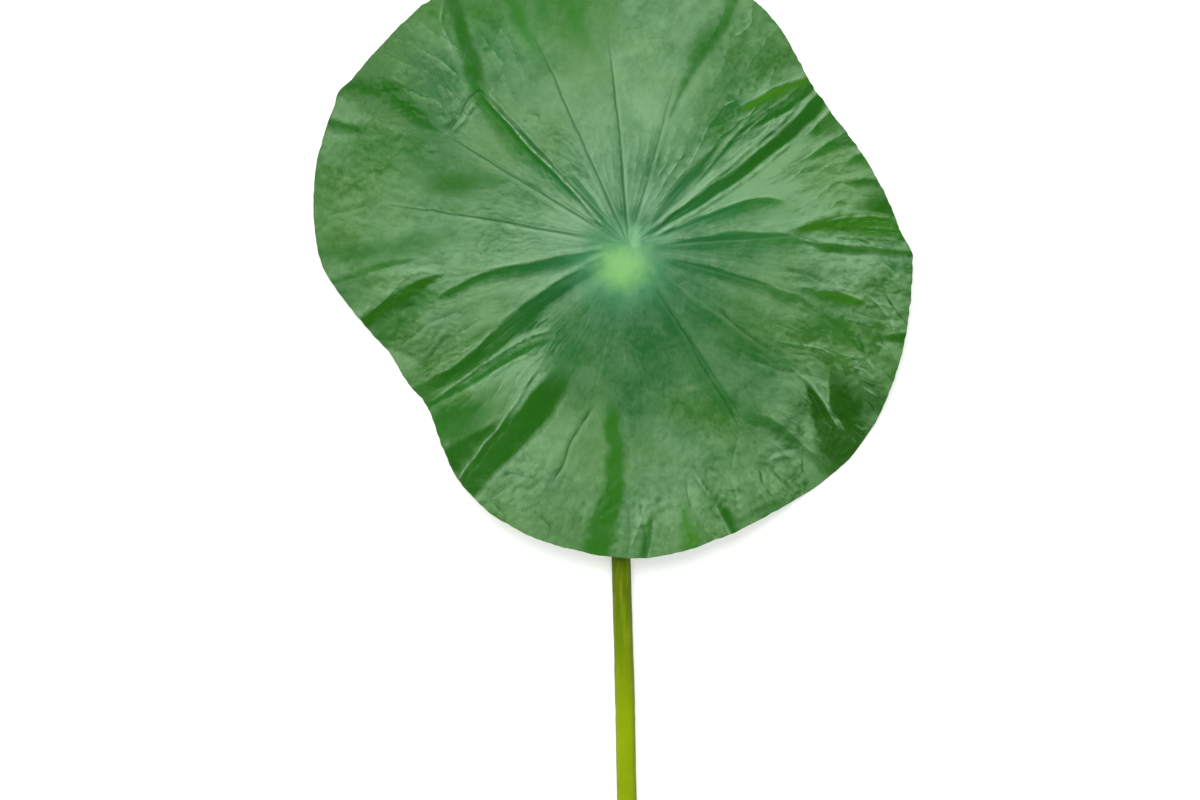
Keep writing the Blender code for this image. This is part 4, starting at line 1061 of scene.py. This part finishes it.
def mark_stalk(stalk, sizes):
    """Keeps, for the material, how far round to the right each point is, and which faces are the cut's pale flesh."""
    _, out, back = stalk_places(stalk, sizes)
    radius = np.interp(back, [STALK_BEND_RADIUS, STALK_REACH], [sizes.stalk_radius, sizes.stalk_end_radius])
    layer = stalk.data.attributes.new("right", "FLOAT", "POINT")
    layer.data.foreach_set("value", (out[:, 0] / radius).astype(np.float32))
    depth = 1.0 - np.linalg.norm(out[:, [0, 2]], axis=1) / radius
    layer = stalk.data.attributes.new("flesh", "FLOAT", "CORNER")
    for face in stalk.data.polygons:
        points = list(face.vertices)
        inner = face.normal.y < -0.6 or depth[points].mean() > 0.15
        for corner in face.loop_indices:
            layer.data[corner].value = float(inner and back[points].min() > STALK_REACH - CUT_FLESH)


def add(tree, kind, inputs=(), output=0, **settings):
    """Adds a node, with its settings and its inputs, which are values or other nodes' outputs, and gives an output."""
    node = tree.nodes.new("ShaderNode" + kind)
    for name, value in settings.items():
        setattr(node, name, value)
    for name, value in inputs.items() if isinstance(inputs, dict) else enumerate(inputs):
        if isinstance(value, bpy.types.NodeSocket):
            tree.links.new(value, node.inputs[name])
        else:
            node.inputs[name].default_value = value
    return node.outputs[output] if node.outputs else node


def new_material(name):
    """An empty material with nodes."""
    material = bpy.data.materials.new(name)
    material.use_nodes = True
    material.node_tree.nodes.clear()
    return material


def waxy_face(colours):
    """The face of a fresh leaf, grown under a bloom of wax: a soft satin, paler where the bloom is thick and where
    sheen is painted, with painted shade in its folds and creases and painted highlights on its ridges.
    """
    material = new_material("waxy_leaf_face")
    node = functools.partial(add, material.node_tree)
    kept = {
        name: node("Attribute", output="Fac", attribute_name=name)
        for name in (
            "flank", "fold", "patch", "deep", "lime", "line", "line_side", "bloom_and_sheen", "reach", "crumple", "clear",
            "crest", "pleat", "tilt",
        )
    }
    reach, crumple = kept["reach"], kept["crumple"]
    where = node("TexCoord", output="Object")
    spokes = node("UVMap", uv_map="spokes")
    split = node("SeparateXYZ", [spokes]).node
    round_share, out_share = split.outputs["X"], split.outputs["Y"]
    from_hub = node("VectorMath", [where, HUB], operation="SUBTRACT")
    up_leaf = node("SeparateXYZ", [from_hub], output="Y")

    seen = {}
    for name, (size, detail, fineness, bent) in NOISES.items():
        settings = {"Scale": 1.0 / (size * MM), "Detail": detail, "Roughness": fineness, "Distortion": bent}
        seen[name] = node("TexNoise", {"Vector": where, **settings}, noise_dimensions="2D")
    for name, (around, outwards, detail) in STREAKS.items():
        place = node("Mapping", {"Vector": spokes, "Scale": (around, outwards, 1.0)})
        seen[name] = node(
            "TexNoise", {"Vector": place, "Scale": 1.0, "Detail": detail, "Distortion": 0.4}, noise_dimensions="2D"
        )

    # A point half a millimetre up the leaf, in the UV map's terms: what rises that way is turned from the light.
    up_x, up_y = (0.5 * MM * part for part in PAINTED_LIGHT_SIDE)
    metres = node("Math", [node("Math", [reach, MM], operation="MULTIPLY"), 0.004], operation="MAXIMUM")
    outwards = node("VectorMath", [from_hub, (up_x, up_y, 0.0)], output="Value", operation="DOT_PRODUCT")
    outwards = node("Math", [outwards, metres], operation="DIVIDE")
    outwards = node("Math", [outwards, 1.0 / (BLADE_REACH * MM)], operation="MULTIPLY")
    around = node("VectorMath", [from_hub, (up_y, -up_x, 0.0)], output="Value", operation="DOT_PRODUCT")
    around = node("Math", [around, metres], operation="DIVIDE")
    around = node("Math", [around, 1.0 / math.tau], operation="MULTIPLY")
    around = node("Math", [around, metres], operation="DIVIDE")
    step = node("CombineXYZ", [around, outwards])

    # Three sizes of crumple, as cells with sharp borders, stretched along the spokes and bent by a noise. Each has a
    # height, a painted light and shade from -1 to 1 that says how far it faces up the leaf, and a tone of its own for
    # each cell.
    settings = {"Scale": 1.0 / (BEND_SIZE * MM), "Detail": 2.0, "Roughness": 0.6}
    bend = node("TexNoise", {"Vector": where, **settings}, output="Color", noise_dimensions="2D")
    bend = node("VectorMath", [bend, (0.5, 0.5, 0.5)], operation="SUBTRACT")
    heights, lights, tones = [], [], []
    for around_count, out_count, bent, gain in CRUMPLE_CELLS:
        reach_of_bend = (bent / around_count, bent / out_count, 0.0)
        shifted = node("VectorMath", [bend, reach_of_bend, spokes], operation="MULTIPLY_ADD")
        pair = []
        for place in (shifted, node("VectorMath", [shifted, step], operation="ADD")):
            place = node("Mapping", {"Vector": place, "Scale": (around_count, out_count, 1.0)})
            pair.append(node("TexVoronoi", {"Vector": place, "Scale": 1.0}, output="Distance", voronoi_dimensions="2D"))
        tones.append(pair[0].node.outputs["Color"])
        light = node("Math", [pair[1], pair[0]], operation="SUBTRACT")
        lights.append(node("MapRange", [light, -1.0 / gain, 1.0 / gain, -1.0, 1.0]))
        heights.append(pair[0])

    # Where the crumple is rough: in patches of the crumpled places.
    rough = node("MapRange", [seen["patchy"], 0.40, 0.62], interpolation_type="SMOOTHSTEP")
    rough = node("Math", [rough, crumple], operation="MULTIPLY")

    # The bloom of wax and painted sheen: in patches, painted paler on the sides of wrinkles, crumple cells and pleats
    # that face up the leaf and darker, as painted shade, on the others, with painted highlights at fold crests.
    # What the layers add on average is taken off at the end.
    bloom_and_sheen = kept["bloom_and_sheen"]
    mean = 0.0
    streak = node("Math", [seen["long"], 0.35, seen["broad"]], operation="MULTIPLY_ADD")
    streak = node("Math", [streak, -0.675], operation="ADD")
    strength = node("Math", [kept["pleat"], 0.9, 0.10], operation="MULTIPLY_ADD")
    streak = node("Math", [streak, strength], operation="MULTIPLY")
    streak = node("Math", [streak, node("MapRange", [reach, 15.0, 80.0, 0.3, 1.0])], operation="MULTIPLY")
    # Pleats are painted as light and shade: a saw that rises round the blade, with a thin painted highlight where it
    # falls.
    pleat_shading = node("Math", [round_share, -PLEATS_ROUND], operation="MULTIPLY")
    pleat_shading = node("Math", [seen["yellow"], 2.4, pleat_shading], operation="MULTIPLY_ADD")
    pleat_shading = node("Math", [seen["frayed"], 0.28, pleat_shading], operation="MULTIPLY_ADD")
    pleat_shading = node("Math", [pleat_shading], operation="FRACT")
    here = node("MapRange", [seen["blots"], 0.38, 0.56], interpolation_type="SMOOTHSTEP")
    here = node("Math", [here, kept["pleat"]], operation="MULTIPLY")
    pleat_highlight = node("MapRange", [pleat_shading, 0.86, 0.96], interpolation_type="SMOOTHSTEP")
    pleat_highlight = node("Math", [pleat_highlight, here], operation="MULTIPLY")
    torn = node("MapRange", [seen["small"], 0.44, 0.58], interpolation_type="SMOOTHSTEP")
    pleat_highlight = node("Math", [pleat_highlight, torn], operation="MULTIPLY")
    pleat_shading = node("Math", [node("Math", [pleat_shading, -0.5], operation="ADD"), here], operation="MULTIPLY")
    for layer, amount, middle in (
        (kept["tilt"], 1.2, 0.0), (seen["clouds"], 1.0, 0.5), (seen["blots"], 0.55, 0.5),
        (streak, 1.0, 0.0), (seen["small"], 0.36, 0.5), (kept["crest"], 0.25, 0.0), (pleat_shading, 0.85, 0.0),
    ):
        bloom_and_sheen = node("Math", [layer, amount, bloom_and_sheen], operation="MULTIPLY_ADD")
        mean += amount * middle
    for light, where_rough, amount, least in (
        (lights[0], crumple, 0.18, 0.02), (lights[1], rough, 0.32, 0.04), (lights[2], rough, 0.30, 0.03),
        (node("Math", [tones[0], -0.5], operation="ADD"), crumple, 0.32, 0.02),
        (node("Math", [tones[1], -0.5], operation="ADD"), crumple, 0.36, 0.03),
        (node("Math", [tones[2], -0.5], operation="ADD"), rough, 0.30, 0.03),
    ):
        strength = node("Math", [where_rough, amount, least], operation="MULTIPLY_ADD")
        bloom_and_sheen = node("Math", [light, strength, bloom_and_sheen], operation="MULTIPLY_ADD")
    bloom_and_sheen = node("MapRange", [bloom_and_sheen, mean, mean + 1.2, 0.0, 1.2])

    # The painted shade on the steep flank of a fold: how far inside it a point is, with a frayed edge and a blotchy
    # middle.
    frayed = node("Math", [seen["frayed"], -0.5], operation="ADD")
    frayed = node("Math", [frayed, node("MapRange", [reach, 25.0, 80.0, 0.2, 2.0])], operation="MULTIPLY")
    flank = node("Math", [node("Math", [kept["flank"], 0.8], operation="ADD"), frayed], operation="ADD")
    inside = node("MapRange", [flank, -0.2, 1.8], interpolation_type="SMOOTHSTEP")
    dark = node("Math", [inside, kept["fold"]], operation="MULTIPLY")
    fuller = node("MapRange", [flank, -0.2, 3.8, 0.92, 1.10], interpolation_type="SMOOTHSTEP")
    dark = node("Math", [dark, fuller], operation="MULTIPLY")
    # The patches' painted shade is laid over that of the folds.
    bare = node("Math", [1.0, kept["patch"]], operation="SUBTRACT")
    dark = node("Math", [dark, bare, kept["patch"]], operation="MULTIPLY_ADD")
    blotchy = node("Math", [seen["small"], 0.35, 0.625], operation="MULTIPLY_ADD")
    blotchy = node("Math", [seen["blotchy"], 0.40, blotchy], operation="MULTIPLY_ADD")
    blotchy = node("Math", [lights[1], -0.05, blotchy], operation="MULTIPLY_ADD")
    dark = node("Math", [dark, blotchy], operation="MULTIPLY", use_clamp=True)

    # The thin painted highlight beyond a crisp edge of a fold.
    glint = node("MapRange", [flank, -3.8, -1.5], interpolation_type="SMOOTHSTEP")
    gone = node("MapRange", [flank, -1.3, -0.2, 1.0, 0.0], interpolation_type="SMOOTHSTEP")
    glint = node("Math", [node("Math", [glint, gone], operation="MULTIPLY"), kept["crest"]], operation="MULTIPLY")
    strength = node("Math", [dark, -0.9, 0.9], operation="MULTIPLY_ADD")
    pleat_highlight = node("Math", [pleat_highlight, strength], operation="MULTIPLY")

    # Thin ridges get a painted highlight, with painted shade below them, and creases are painted dark as shade. Both
    # are broken here and there.
    beside = node("Math", [kept["line_side"]], operation="ABSOLUTE")
    on_line = node("MapRange", [beside, 0.10, 0.95, 1.0, 0.0], interpolation_type="SMOOTHSTEP")
    beside = node("Math", [kept["line_side"], 1.4], operation="ADD")
    beside = node("Math", [beside], operation="ABSOLUTE")
    below = node("MapRange", [beside, 0.1, 1.1, 1.0, 0.0], interpolation_type="SMOOTHSTEP")
    broken = node("Math", [seen["fibres"], 0.6, seen["small"]], operation="MULTIPLY_ADD")
    broken = node("MapRange", [broken, 0.6, 0.95, 0.35, 1.0], interpolation_type="SMOOTHSTEP")
    pale_line = node("Math", [kept["line"], 0.0], operation="MAXIMUM")
    pale_line = node("Math", [pale_line, broken], operation="MULTIPLY")
    ridge_highlight = node("Math", [pale_line, on_line], operation="MULTIPLY")
    shadow = node("Math", [pale_line, below], operation="MULTIPLY")
    crease_shade = node("Math", [kept["line"], -0.95], operation="MULTIPLY", use_clamp=True)
    crease_shade = node("Math", [crease_shade, on_line], operation="MULTIPLY")
    glint = node("Math", [glint, broken], operation="MULTIPLY")

    # The veins' lines: their place is counted in veins round the hub, then turned to mm.
    turn = node("Math", [round_share, float(len(VEINS)), -0.055], operation="MULTIPLY_ADD")
    turn = node("Math", [seen["wander"], 0.07, turn], operation="MULTIPLY_ADD")
    turn = node("Math", [seen["blots"], 0.04, turn], operation="MULTIPLY_ADD")
    side = node("Math", [turn, 0.5], operation="PINGPONG")
    arc = node("Math", [reach, math.tau / len(VEINS)], operation="MULTIPLY")
    width = node("MapRange", [out_share, 0.1, 0.75, 0.90, 0.62])
    gap = node("Math", [node("Math", [side, arc], operation="MULTIPLY"), width], operation="DIVIDE")
    vein = node("MapRange", [gap, 0.25, 1.0, 1.0, 0.0], interpolation_type="SMOOTHSTEP")
    vein = node("Math", [vein, kept["clear"]], operation="MULTIPLY")
    # The pale line beside a vein's groove is a painted highlight, clearest near the hub.
    signed = node("Math", [turn, node("Math", [turn], operation="ROUND")], operation="SUBTRACT")
    signed = node("Math", [signed, arc, 1.1], operation="MULTIPLY_ADD")
    signed = node("Math", [signed], operation="ABSOLUTE")
    vein_highlight = node("MapRange", [signed, 0.0, 0.8, 1.0, 0.0], interpolation_type="SMOOTHSTEP")
    vein_highlight = node("Math", [vein_highlight, kept["clear"]], operation="MULTIPLY")
    vein_highlight = node("Math", [vein_highlight, node("MapRange", [reach, 15.0, 60.0, 0.8, 0.25])], operation="MULTIPLY")

    # Painted glints along the borders of the smaller crumple cells, and small nicks of painted shade where the face is
    # smoother.
    crinkle_glint = node("MapRange", [heights[2], 0.52, 0.72], interpolation_type="SMOOTHSTEP")
    torn = node("MapRange", [seen["fibres"], 0.45, 0.60], interpolation_type="SMOOTHSTEP")
    crinkle_glint = node("Math", [crinkle_glint, torn], operation="MULTIPLY")
    crinkle_glint = node("Math", [crinkle_glint, node("Math", [dark, -0.3, 0.3], operation="MULTIPLY_ADD")], operation="MULTIPLY")
    crinkle_glint = node("Math", [crinkle_glint, rough], operation="MULTIPLY")
    crinkle_shade = node("MapRange", [heights[1], 0.60, 0.78], interpolation_type="SMOOTHSTEP")
    torn = node("MapRange", [seen["fibres"], 0.55, 0.42], interpolation_type="SMOOTHSTEP")
    crinkle_shade = node("Math", [crinkle_shade, torn], operation="MULTIPLY")
    crinkle_shade = node("Math", [crinkle_shade, node("Math", [crumple, 0.45, 0.02], operation="MULTIPLY_ADD")], operation="MULTIPLY")

    # The hub: a soft yellow green spot a little below it, and mint rays between the veins above it.
    spot = node("VectorMath", [from_hub, (0.0030, 0.0114, 0.0)], operation="ADD")
    spot = node("VectorMath", [spot, (0.92, 1.02, 0.0)], operation="MULTIPLY")
    spot = node("VectorMath", [spot], output="Value", operation="LENGTH")
    spot = node("Math", [seen["frayed"], 0.009, spot], operation="MULTIPLY_ADD")
    upper = node("MapRange", [up_leaf, -0.003, 0.006], interpolation_type="SMOOTHSTEP")
    halo = node("MapRange", [spot, 0.0125, 0.0350, 0.70, 0.0], interpolation_type="SMOOTHSTEP")
    glow = node("MapRange", [spot, 0.0075, 0.0220, 0.90, 0.0], interpolation_type="SMOOTHSTEP")
    glow = node("Math", [glow, node("MapRange", [upper, 0.0, 1.0, 1.0, 0.30])], operation="MULTIPLY")
    ray = node("MapRange", [side, 0.05, 0.20], interpolation_type="SMOOTHSTEP")
    ray = node("Math", [ray, node("MapRange", [seen["rays"], 0.36, 0.60])], operation="MULTIPLY")
    ray = node("Math", [ray, upper], operation="MULTIPLY")
    ray = node("Math", [ray, node("MapRange", [reach, 3.0, 17.0, 0.62, 0.0])], operation="MULTIPLY")
    smear = node("VectorMath", [from_hub, (-0.0032, -0.0030, 0.0)], operation="ADD")
    smear = node("VectorMath", [smear, (2.0, 0.7, 0.0)], operation="MULTIPLY")
    smear = node("VectorMath", [smear], output="Value", operation="LENGTH")
    smear = node("Math", [seen["frayed"], 0.006, smear], operation="MULTIPLY_ADD")
    smear = node("MapRange", [smear, 0.0040, 0.0110, 0.50, 0.0], interpolation_type="SMOOTHSTEP")

    # Yellower and browner towards the edge, and bluer near the hub, where the painted sheen is a paler bluish grey.
    yellow = node("Math", [out_share, 0.34, seen["yellow"]], operation="MULTIPLY_ADD")
    yellow = node("MapRange", [yellow, 0.55, 0.98, 0.0, 0.38], interpolation_type="SMOOTHSTEP")
    blue = node("MapRange", [reach, 12.0, 85.0, 0.50, 0.0], interpolation_type="SMOOTHSTEP")
    far = node("MapRange", [reach, 20.0, 85.0], interpolation_type="SMOOTHSTEP")
    rim = node("Math", [seen["blotchy"], 0.02, out_share], operation="MULTIPLY_ADD")
    rim = node("MapRange", [rim, 1.004, 1.016, 0.0, 0.5], interpolation_type="SMOOTHSTEP")

    # The colours, each laid over those before it. A share that two of them use is worked out above.
    bluish_sheen = node("Mix", {SHARE: bloom_and_sheen, LOWER: rgba("#276b40"), UPPER: paint(colours.teal)}, **COLOURS)
    # The colour of the painted shade in folds: bluer near the hub, then fold green and deep green, and yellow green
    # where light comes through.
    fold_shade_colour = rgba("#246d3c")
    for share, colour in ((far, colours.shade), (kept["deep"], colours.deep), (kept["lime"], colours.lime)):
        fold_shade_colour = node("Mix", {SHARE: share, LOWER: fold_shade_colour, UPPER: paint(colour)}, **COLOURS)
    face = paint(colours.green)
    for share, strength, colour in (
        (bloom_and_sheen, 1.0, paint(colours.pale)), (yellow, 1.0, rgba("#4f7f28")), (blue, 1.0, bluish_sheen), (dark, 1.0, fold_shade_colour),
        (glint, 0.80, rgba("#8fb88c")), (ridge_highlight, 0.85, rgba("#8ab286")), (shadow, 0.6, paint(colours.shade)),
        (crease_shade, 1.0, rgba("#1a5318")), (vein_highlight, 0.55, rgba("#8db891")), (vein, 0.74, rgba("#215c2c")),
        (pleat_highlight, 0.45, rgba("#8fb88c")), (crinkle_glint, 1.0, rgba("#8fb58b")), (crinkle_shade, 1.0, rgba("#1d561b")),
        (halo, 1.0, rgba("#549a6c")), (glow, 1.0, paint(colours.glow)), (ray, 1.0, rgba("#8dc496")),
        (smear, 1.0, rgba("#8fc893")), (rim, 1.0, paint(colours.rim)),
    ):
        if strength < 1.0:
            share = node("Math", [share, strength], operation="MULTIPLY")
        face = node("Mix", {SHARE: share, LOWER: face, UPPER: colour}, clamp_factor=True, **COLOURS)

    # The relief, in mm.
    height = node("Math", [vein, -0.12], operation="MULTIPLY")
    for layer, where_rough, amount, least in (
        (heights[0], crumple, 0.50, 0.0), (heights[1], rough, 0.40, 0.03), (heights[2], rough, 0.20, 0.01),
        (seen["fibres"], rough, 0.12, 0.012), (seen["small"], crumple, 0.08, 0.05), (seen["pores"], crumple, 0.0, 0.02),
    ):
        strength = node("Math", [where_rough, amount, least], operation="MULTIPLY_ADD")
        height = node("Math", [layer, strength, height], operation="MULTIPLY_ADD")
    bump = node("Bump", {"Strength": 1.0, "Distance": MM, "Height": height})
    roughness = node("Math", [seen["small"], 0.8, bloom_and_sheen], operation="MULTIPLY_ADD")
    roughness = node("MapRange", [roughness, 0.4, 1.4, 0.34, 0.46])
    look = {"Base Color": face, "Roughness": roughness, "Normal": bump, "IOR": 1.48, "Specular IOR Level": 0.18}
    node("OutputMaterial", {"Surface": node("BsdfPrincipled", look)})
    return material


def dull_underside(colours):
    """The underside of a leaf, grown without wax: dull, paler, with yellower ribs and a fine grain."""
    material = new_material("dull_leaf_underside")
    node = functools.partial(add, material.node_tree)
    where = node("TexCoord", output="Object")
    rib = node("Attribute", output="Fac", attribute_name="rib")
    # Mottles of 25 mm, and a grain of 2 mm: the real grain is too fine to show, so it is drawn coarser.
    mottle = node("TexNoise", {"Vector": where, "Scale": 1.0 / (25.0 * MM), "Detail": 5.0})
    grain = node("TexNoise", {"Vector": where, "Scale": 1.0 / (2.0 * MM), "Detail": 3.0})
    base = node("Mix", {SHARE: mottle, LOWER: paint(colours.under), UPPER: rgba("#6d8c58")}, **COLOURS)
    on_rib = node("MapRange", [rib, 0.05, 0.7])
    base = node("Mix", {SHARE: on_rib, LOWER: base, UPPER: rgba("#a9b878")}, **COLOURS)
    bump = node("Bump", {"Strength": 0.4, "Distance": 0.3 * MM, "Height": grain})
    shader = node("BsdfPrincipled", {"Base Color": base, "Roughness": 0.72, "Normal": bump})
    node("OutputMaterial", {"Surface": shader})
    return material


def dry_edge(colours):
    """The cut-thin edge of a leaf that has begun to dry: a matt brown line."""
    material = new_material("dry_leaf_edge")
    node = functools.partial(add, material.node_tree)
    where = node("TexCoord", output="Object")
    mottle = node("TexNoise", {"Vector": where, "Scale": 1.0 / (11.111 * MM), "Detail": 4.0})
    base = node("Mix", {SHARE: mottle, LOWER: paint(colours.rim), UPPER: rgba("#5d7d3c")}, **COLOURS)
    shader = node("BsdfPrincipled", {"Base Color": base, "Roughness": 0.6})
    node("OutputMaterial", {"Surface": shader})
    return material


def smooth_stalk(colours):
    """The skin of a green stalk, grown smooth: satin and streaked along its length, darker near the blade where a
    shadow is painted, and with painted shade down its sides.
    """
    material = new_material("smooth_green_stalk")
    node = functools.partial(add, material.node_tree)
    where = node("TexCoord", output="Object")
    length = node("SeparateXYZ", [where], output="Y")
    right = node("Attribute", output="Fac", attribute_name="right")
    flesh = node("Attribute", output="Fac", attribute_name="flesh")
    # Streaks 2.4 mm wide and 20 mm long, patches of 22 mm, and specks of 1.4 mm. Real streaks and specks are finer,
    # and are drawn as coarse as shows.
    drawn = node("Mapping", {"Vector": where, "Scale": (1.0, 0.12, 1.0)})
    streak = node("TexNoise", {"Vector": drawn, "Scale": 1.0 / (2.381 * MM), "Detail": 3.0})
    patch = node("TexNoise", {"Vector": where, "Scale": 1.0 / (22.222 * MM), "Detail": 4.0})
    speck = node("TexNoise", {"Vector": where, "Scale": 1.0 / (1.4286 * MM), "Detail": 1.0})
    base = paint(colours.stalk)
    # Olive near the blade is a painted shadow, and the darker right side and left edge are painted shade; the patches,
    # streaks, specks and pale cut flesh are the stalk's own colours.
    for layer, low, high, most, colour in (
        (length, -0.125, -0.035, 1.0, paint(colours.stalk_shadow)), (patch, 0.42, 0.75, 0.45, rgba("#6d8500")),
        (streak, 0.45, 0.80, 0.35, rgba("#a0b41c")), (right, 0.55, 0.95, 0.60, rgba("#4a5c04")),
        (right, -0.75, -1.0, 0.35, rgba("#5b7004")), (speck, 0.74, 0.80, 0.60, rgba("#3a3c10")),
        (flesh, 0.12, 0.30, 1.0, rgba("#b9c58a")),
    ):
        share = node("MapRange", [layer, low, high, 0.0, most], interpolation_type="SMOOTHSTEP")
        base = node("Mix", {SHARE: share, LOWER: base, UPPER: colour}, **COLOURS)
    bump = node("Bump", {"Strength": 0.3, "Distance": 0.4 * MM, "Height": streak})
    shader = node("BsdfPrincipled", {"Base Color": base, "Roughness": 0.45, "Normal": bump, "Specular IOR Level": 0.1})
    node("OutputMaterial", {"Surface": shader})
    return material


class LEAF_OT_stage(bpy.types.Operator):
    """Sets the stage: a pale floor, soft studio light and a camera that looks straight down"""

    bl_idname = "leaf.stage"
    bl_label = "Stage"

    def execute(self, context):
        bpy.ops.object.select_all(action="DESELECT")
        bpy.ops.mesh.primitive_plane_add(size=8.0, location=(0.0, 0.0, -0.0003))
        floor = context.object
        floor.name = "floor"
        material = new_material("matt_white_board")
        tree = material.node_tree
        look = {
            "Base Color": paint(context.scene.leaf_colours.floor), "Roughness": 0.9, "Specular IOR Level": 0.1,
            "Emission Color": rgba("#ffffff"), "Emission Strength": FLOOR_GLOW,
        }
        add(tree, "OutputMaterial", {"Surface": add(tree, "BsdfPrincipled", look)})
        floor.data.materials.append(material)
        add_light(*KEY_LIGHT)
        fill = add_light(*FILL_LIGHT)
        fill.visible_glossy = False
        world = bpy.data.worlds.new("studio")
        context.scene.world = world
        world.use_nodes = True
        sky = world.node_tree.nodes["Background"]
        sky.inputs["Color"].default_value = (1.0, 1.0, 1.0, 1.0)
        sky.inputs["Strength"].default_value = SKY_GLOW
        lens = bpy.data.cameras.new("camera")
        lens.lens = 85.0
        lens.sensor_width = 36.0
        lens.clip_end = 50.0
        camera = bpy.data.objects.new("camera", lens)
        context.scene.collection.objects.link(camera)
        camera.location = (HUB.x + CAMERA_SPOT[0] * MM, HUB.y + CAMERA_SPOT[1] * MM, CAMERA_HEIGHT * MM)
        context.scene.camera = camera
        context.scene.view_settings.view_transform = "Standard"
        return {"FINISHED"}


def add_light(name, place, size, power):
    """A square area light that shines at the hub."""
    light = bpy.data.lights.new(name, "AREA")
    light.size = size
    light.energy = power
    holder = bpy.data.objects.new(name, light)
    bpy.context.scene.collection.objects.link(holder)
    holder.location = place
    holder.rotation_euler = (HUB - Vector(place)).to_track_quat("-Z", "Y").to_euler()
    return holder


class LEAF_PT_panel(bpy.types.Panel):
    """Lists the leaf's pieces, sizes and colours"""

    bl_idname = "LEAF_PT_panel"
    bl_label = "Lotus leaf"
    bl_space_type = "VIEW_3D"
    bl_region_type = "UI"
    bl_category = "Lotus leaf"

    def draw(self, context):
        layout = self.layout
        for operator in (LEAF_OT_blade, LEAF_OT_stalk, LEAF_OT_stage):
            layout.operator(operator.bl_idname)
        for group in (context.scene.leaf_sizes, context.scene.leaf_colours):
            for name in group.__annotations__:
                layout.prop(group, name)


CLASSES = (LeafSizes, LeafColours, LEAF_OT_blade, LEAF_OT_stalk, LEAF_OT_stage, LEAF_PT_panel)


def register():
    for item in CLASSES:
        bpy.utils.register_class(item)
    bpy.types.Scene.leaf_sizes = bpy.props.PointerProperty(type=LeafSizes)
    bpy.types.Scene.leaf_colours = bpy.props.PointerProperty(type=LeafColours)


def unregister():
    del bpy.types.Scene.leaf_colours
    del bpy.types.Scene.leaf_sizes
    for item in reversed(CLASSES):
        bpy.utils.unregister_class(item)


def main():
    """Registers the classes, sets the stage and makes both pieces."""
    register()
    bpy.ops.leaf.stage()
    bpy.ops.leaf.blade()
    bpy.ops.leaf.stalk()


if __name__ == "__main__":
    main()
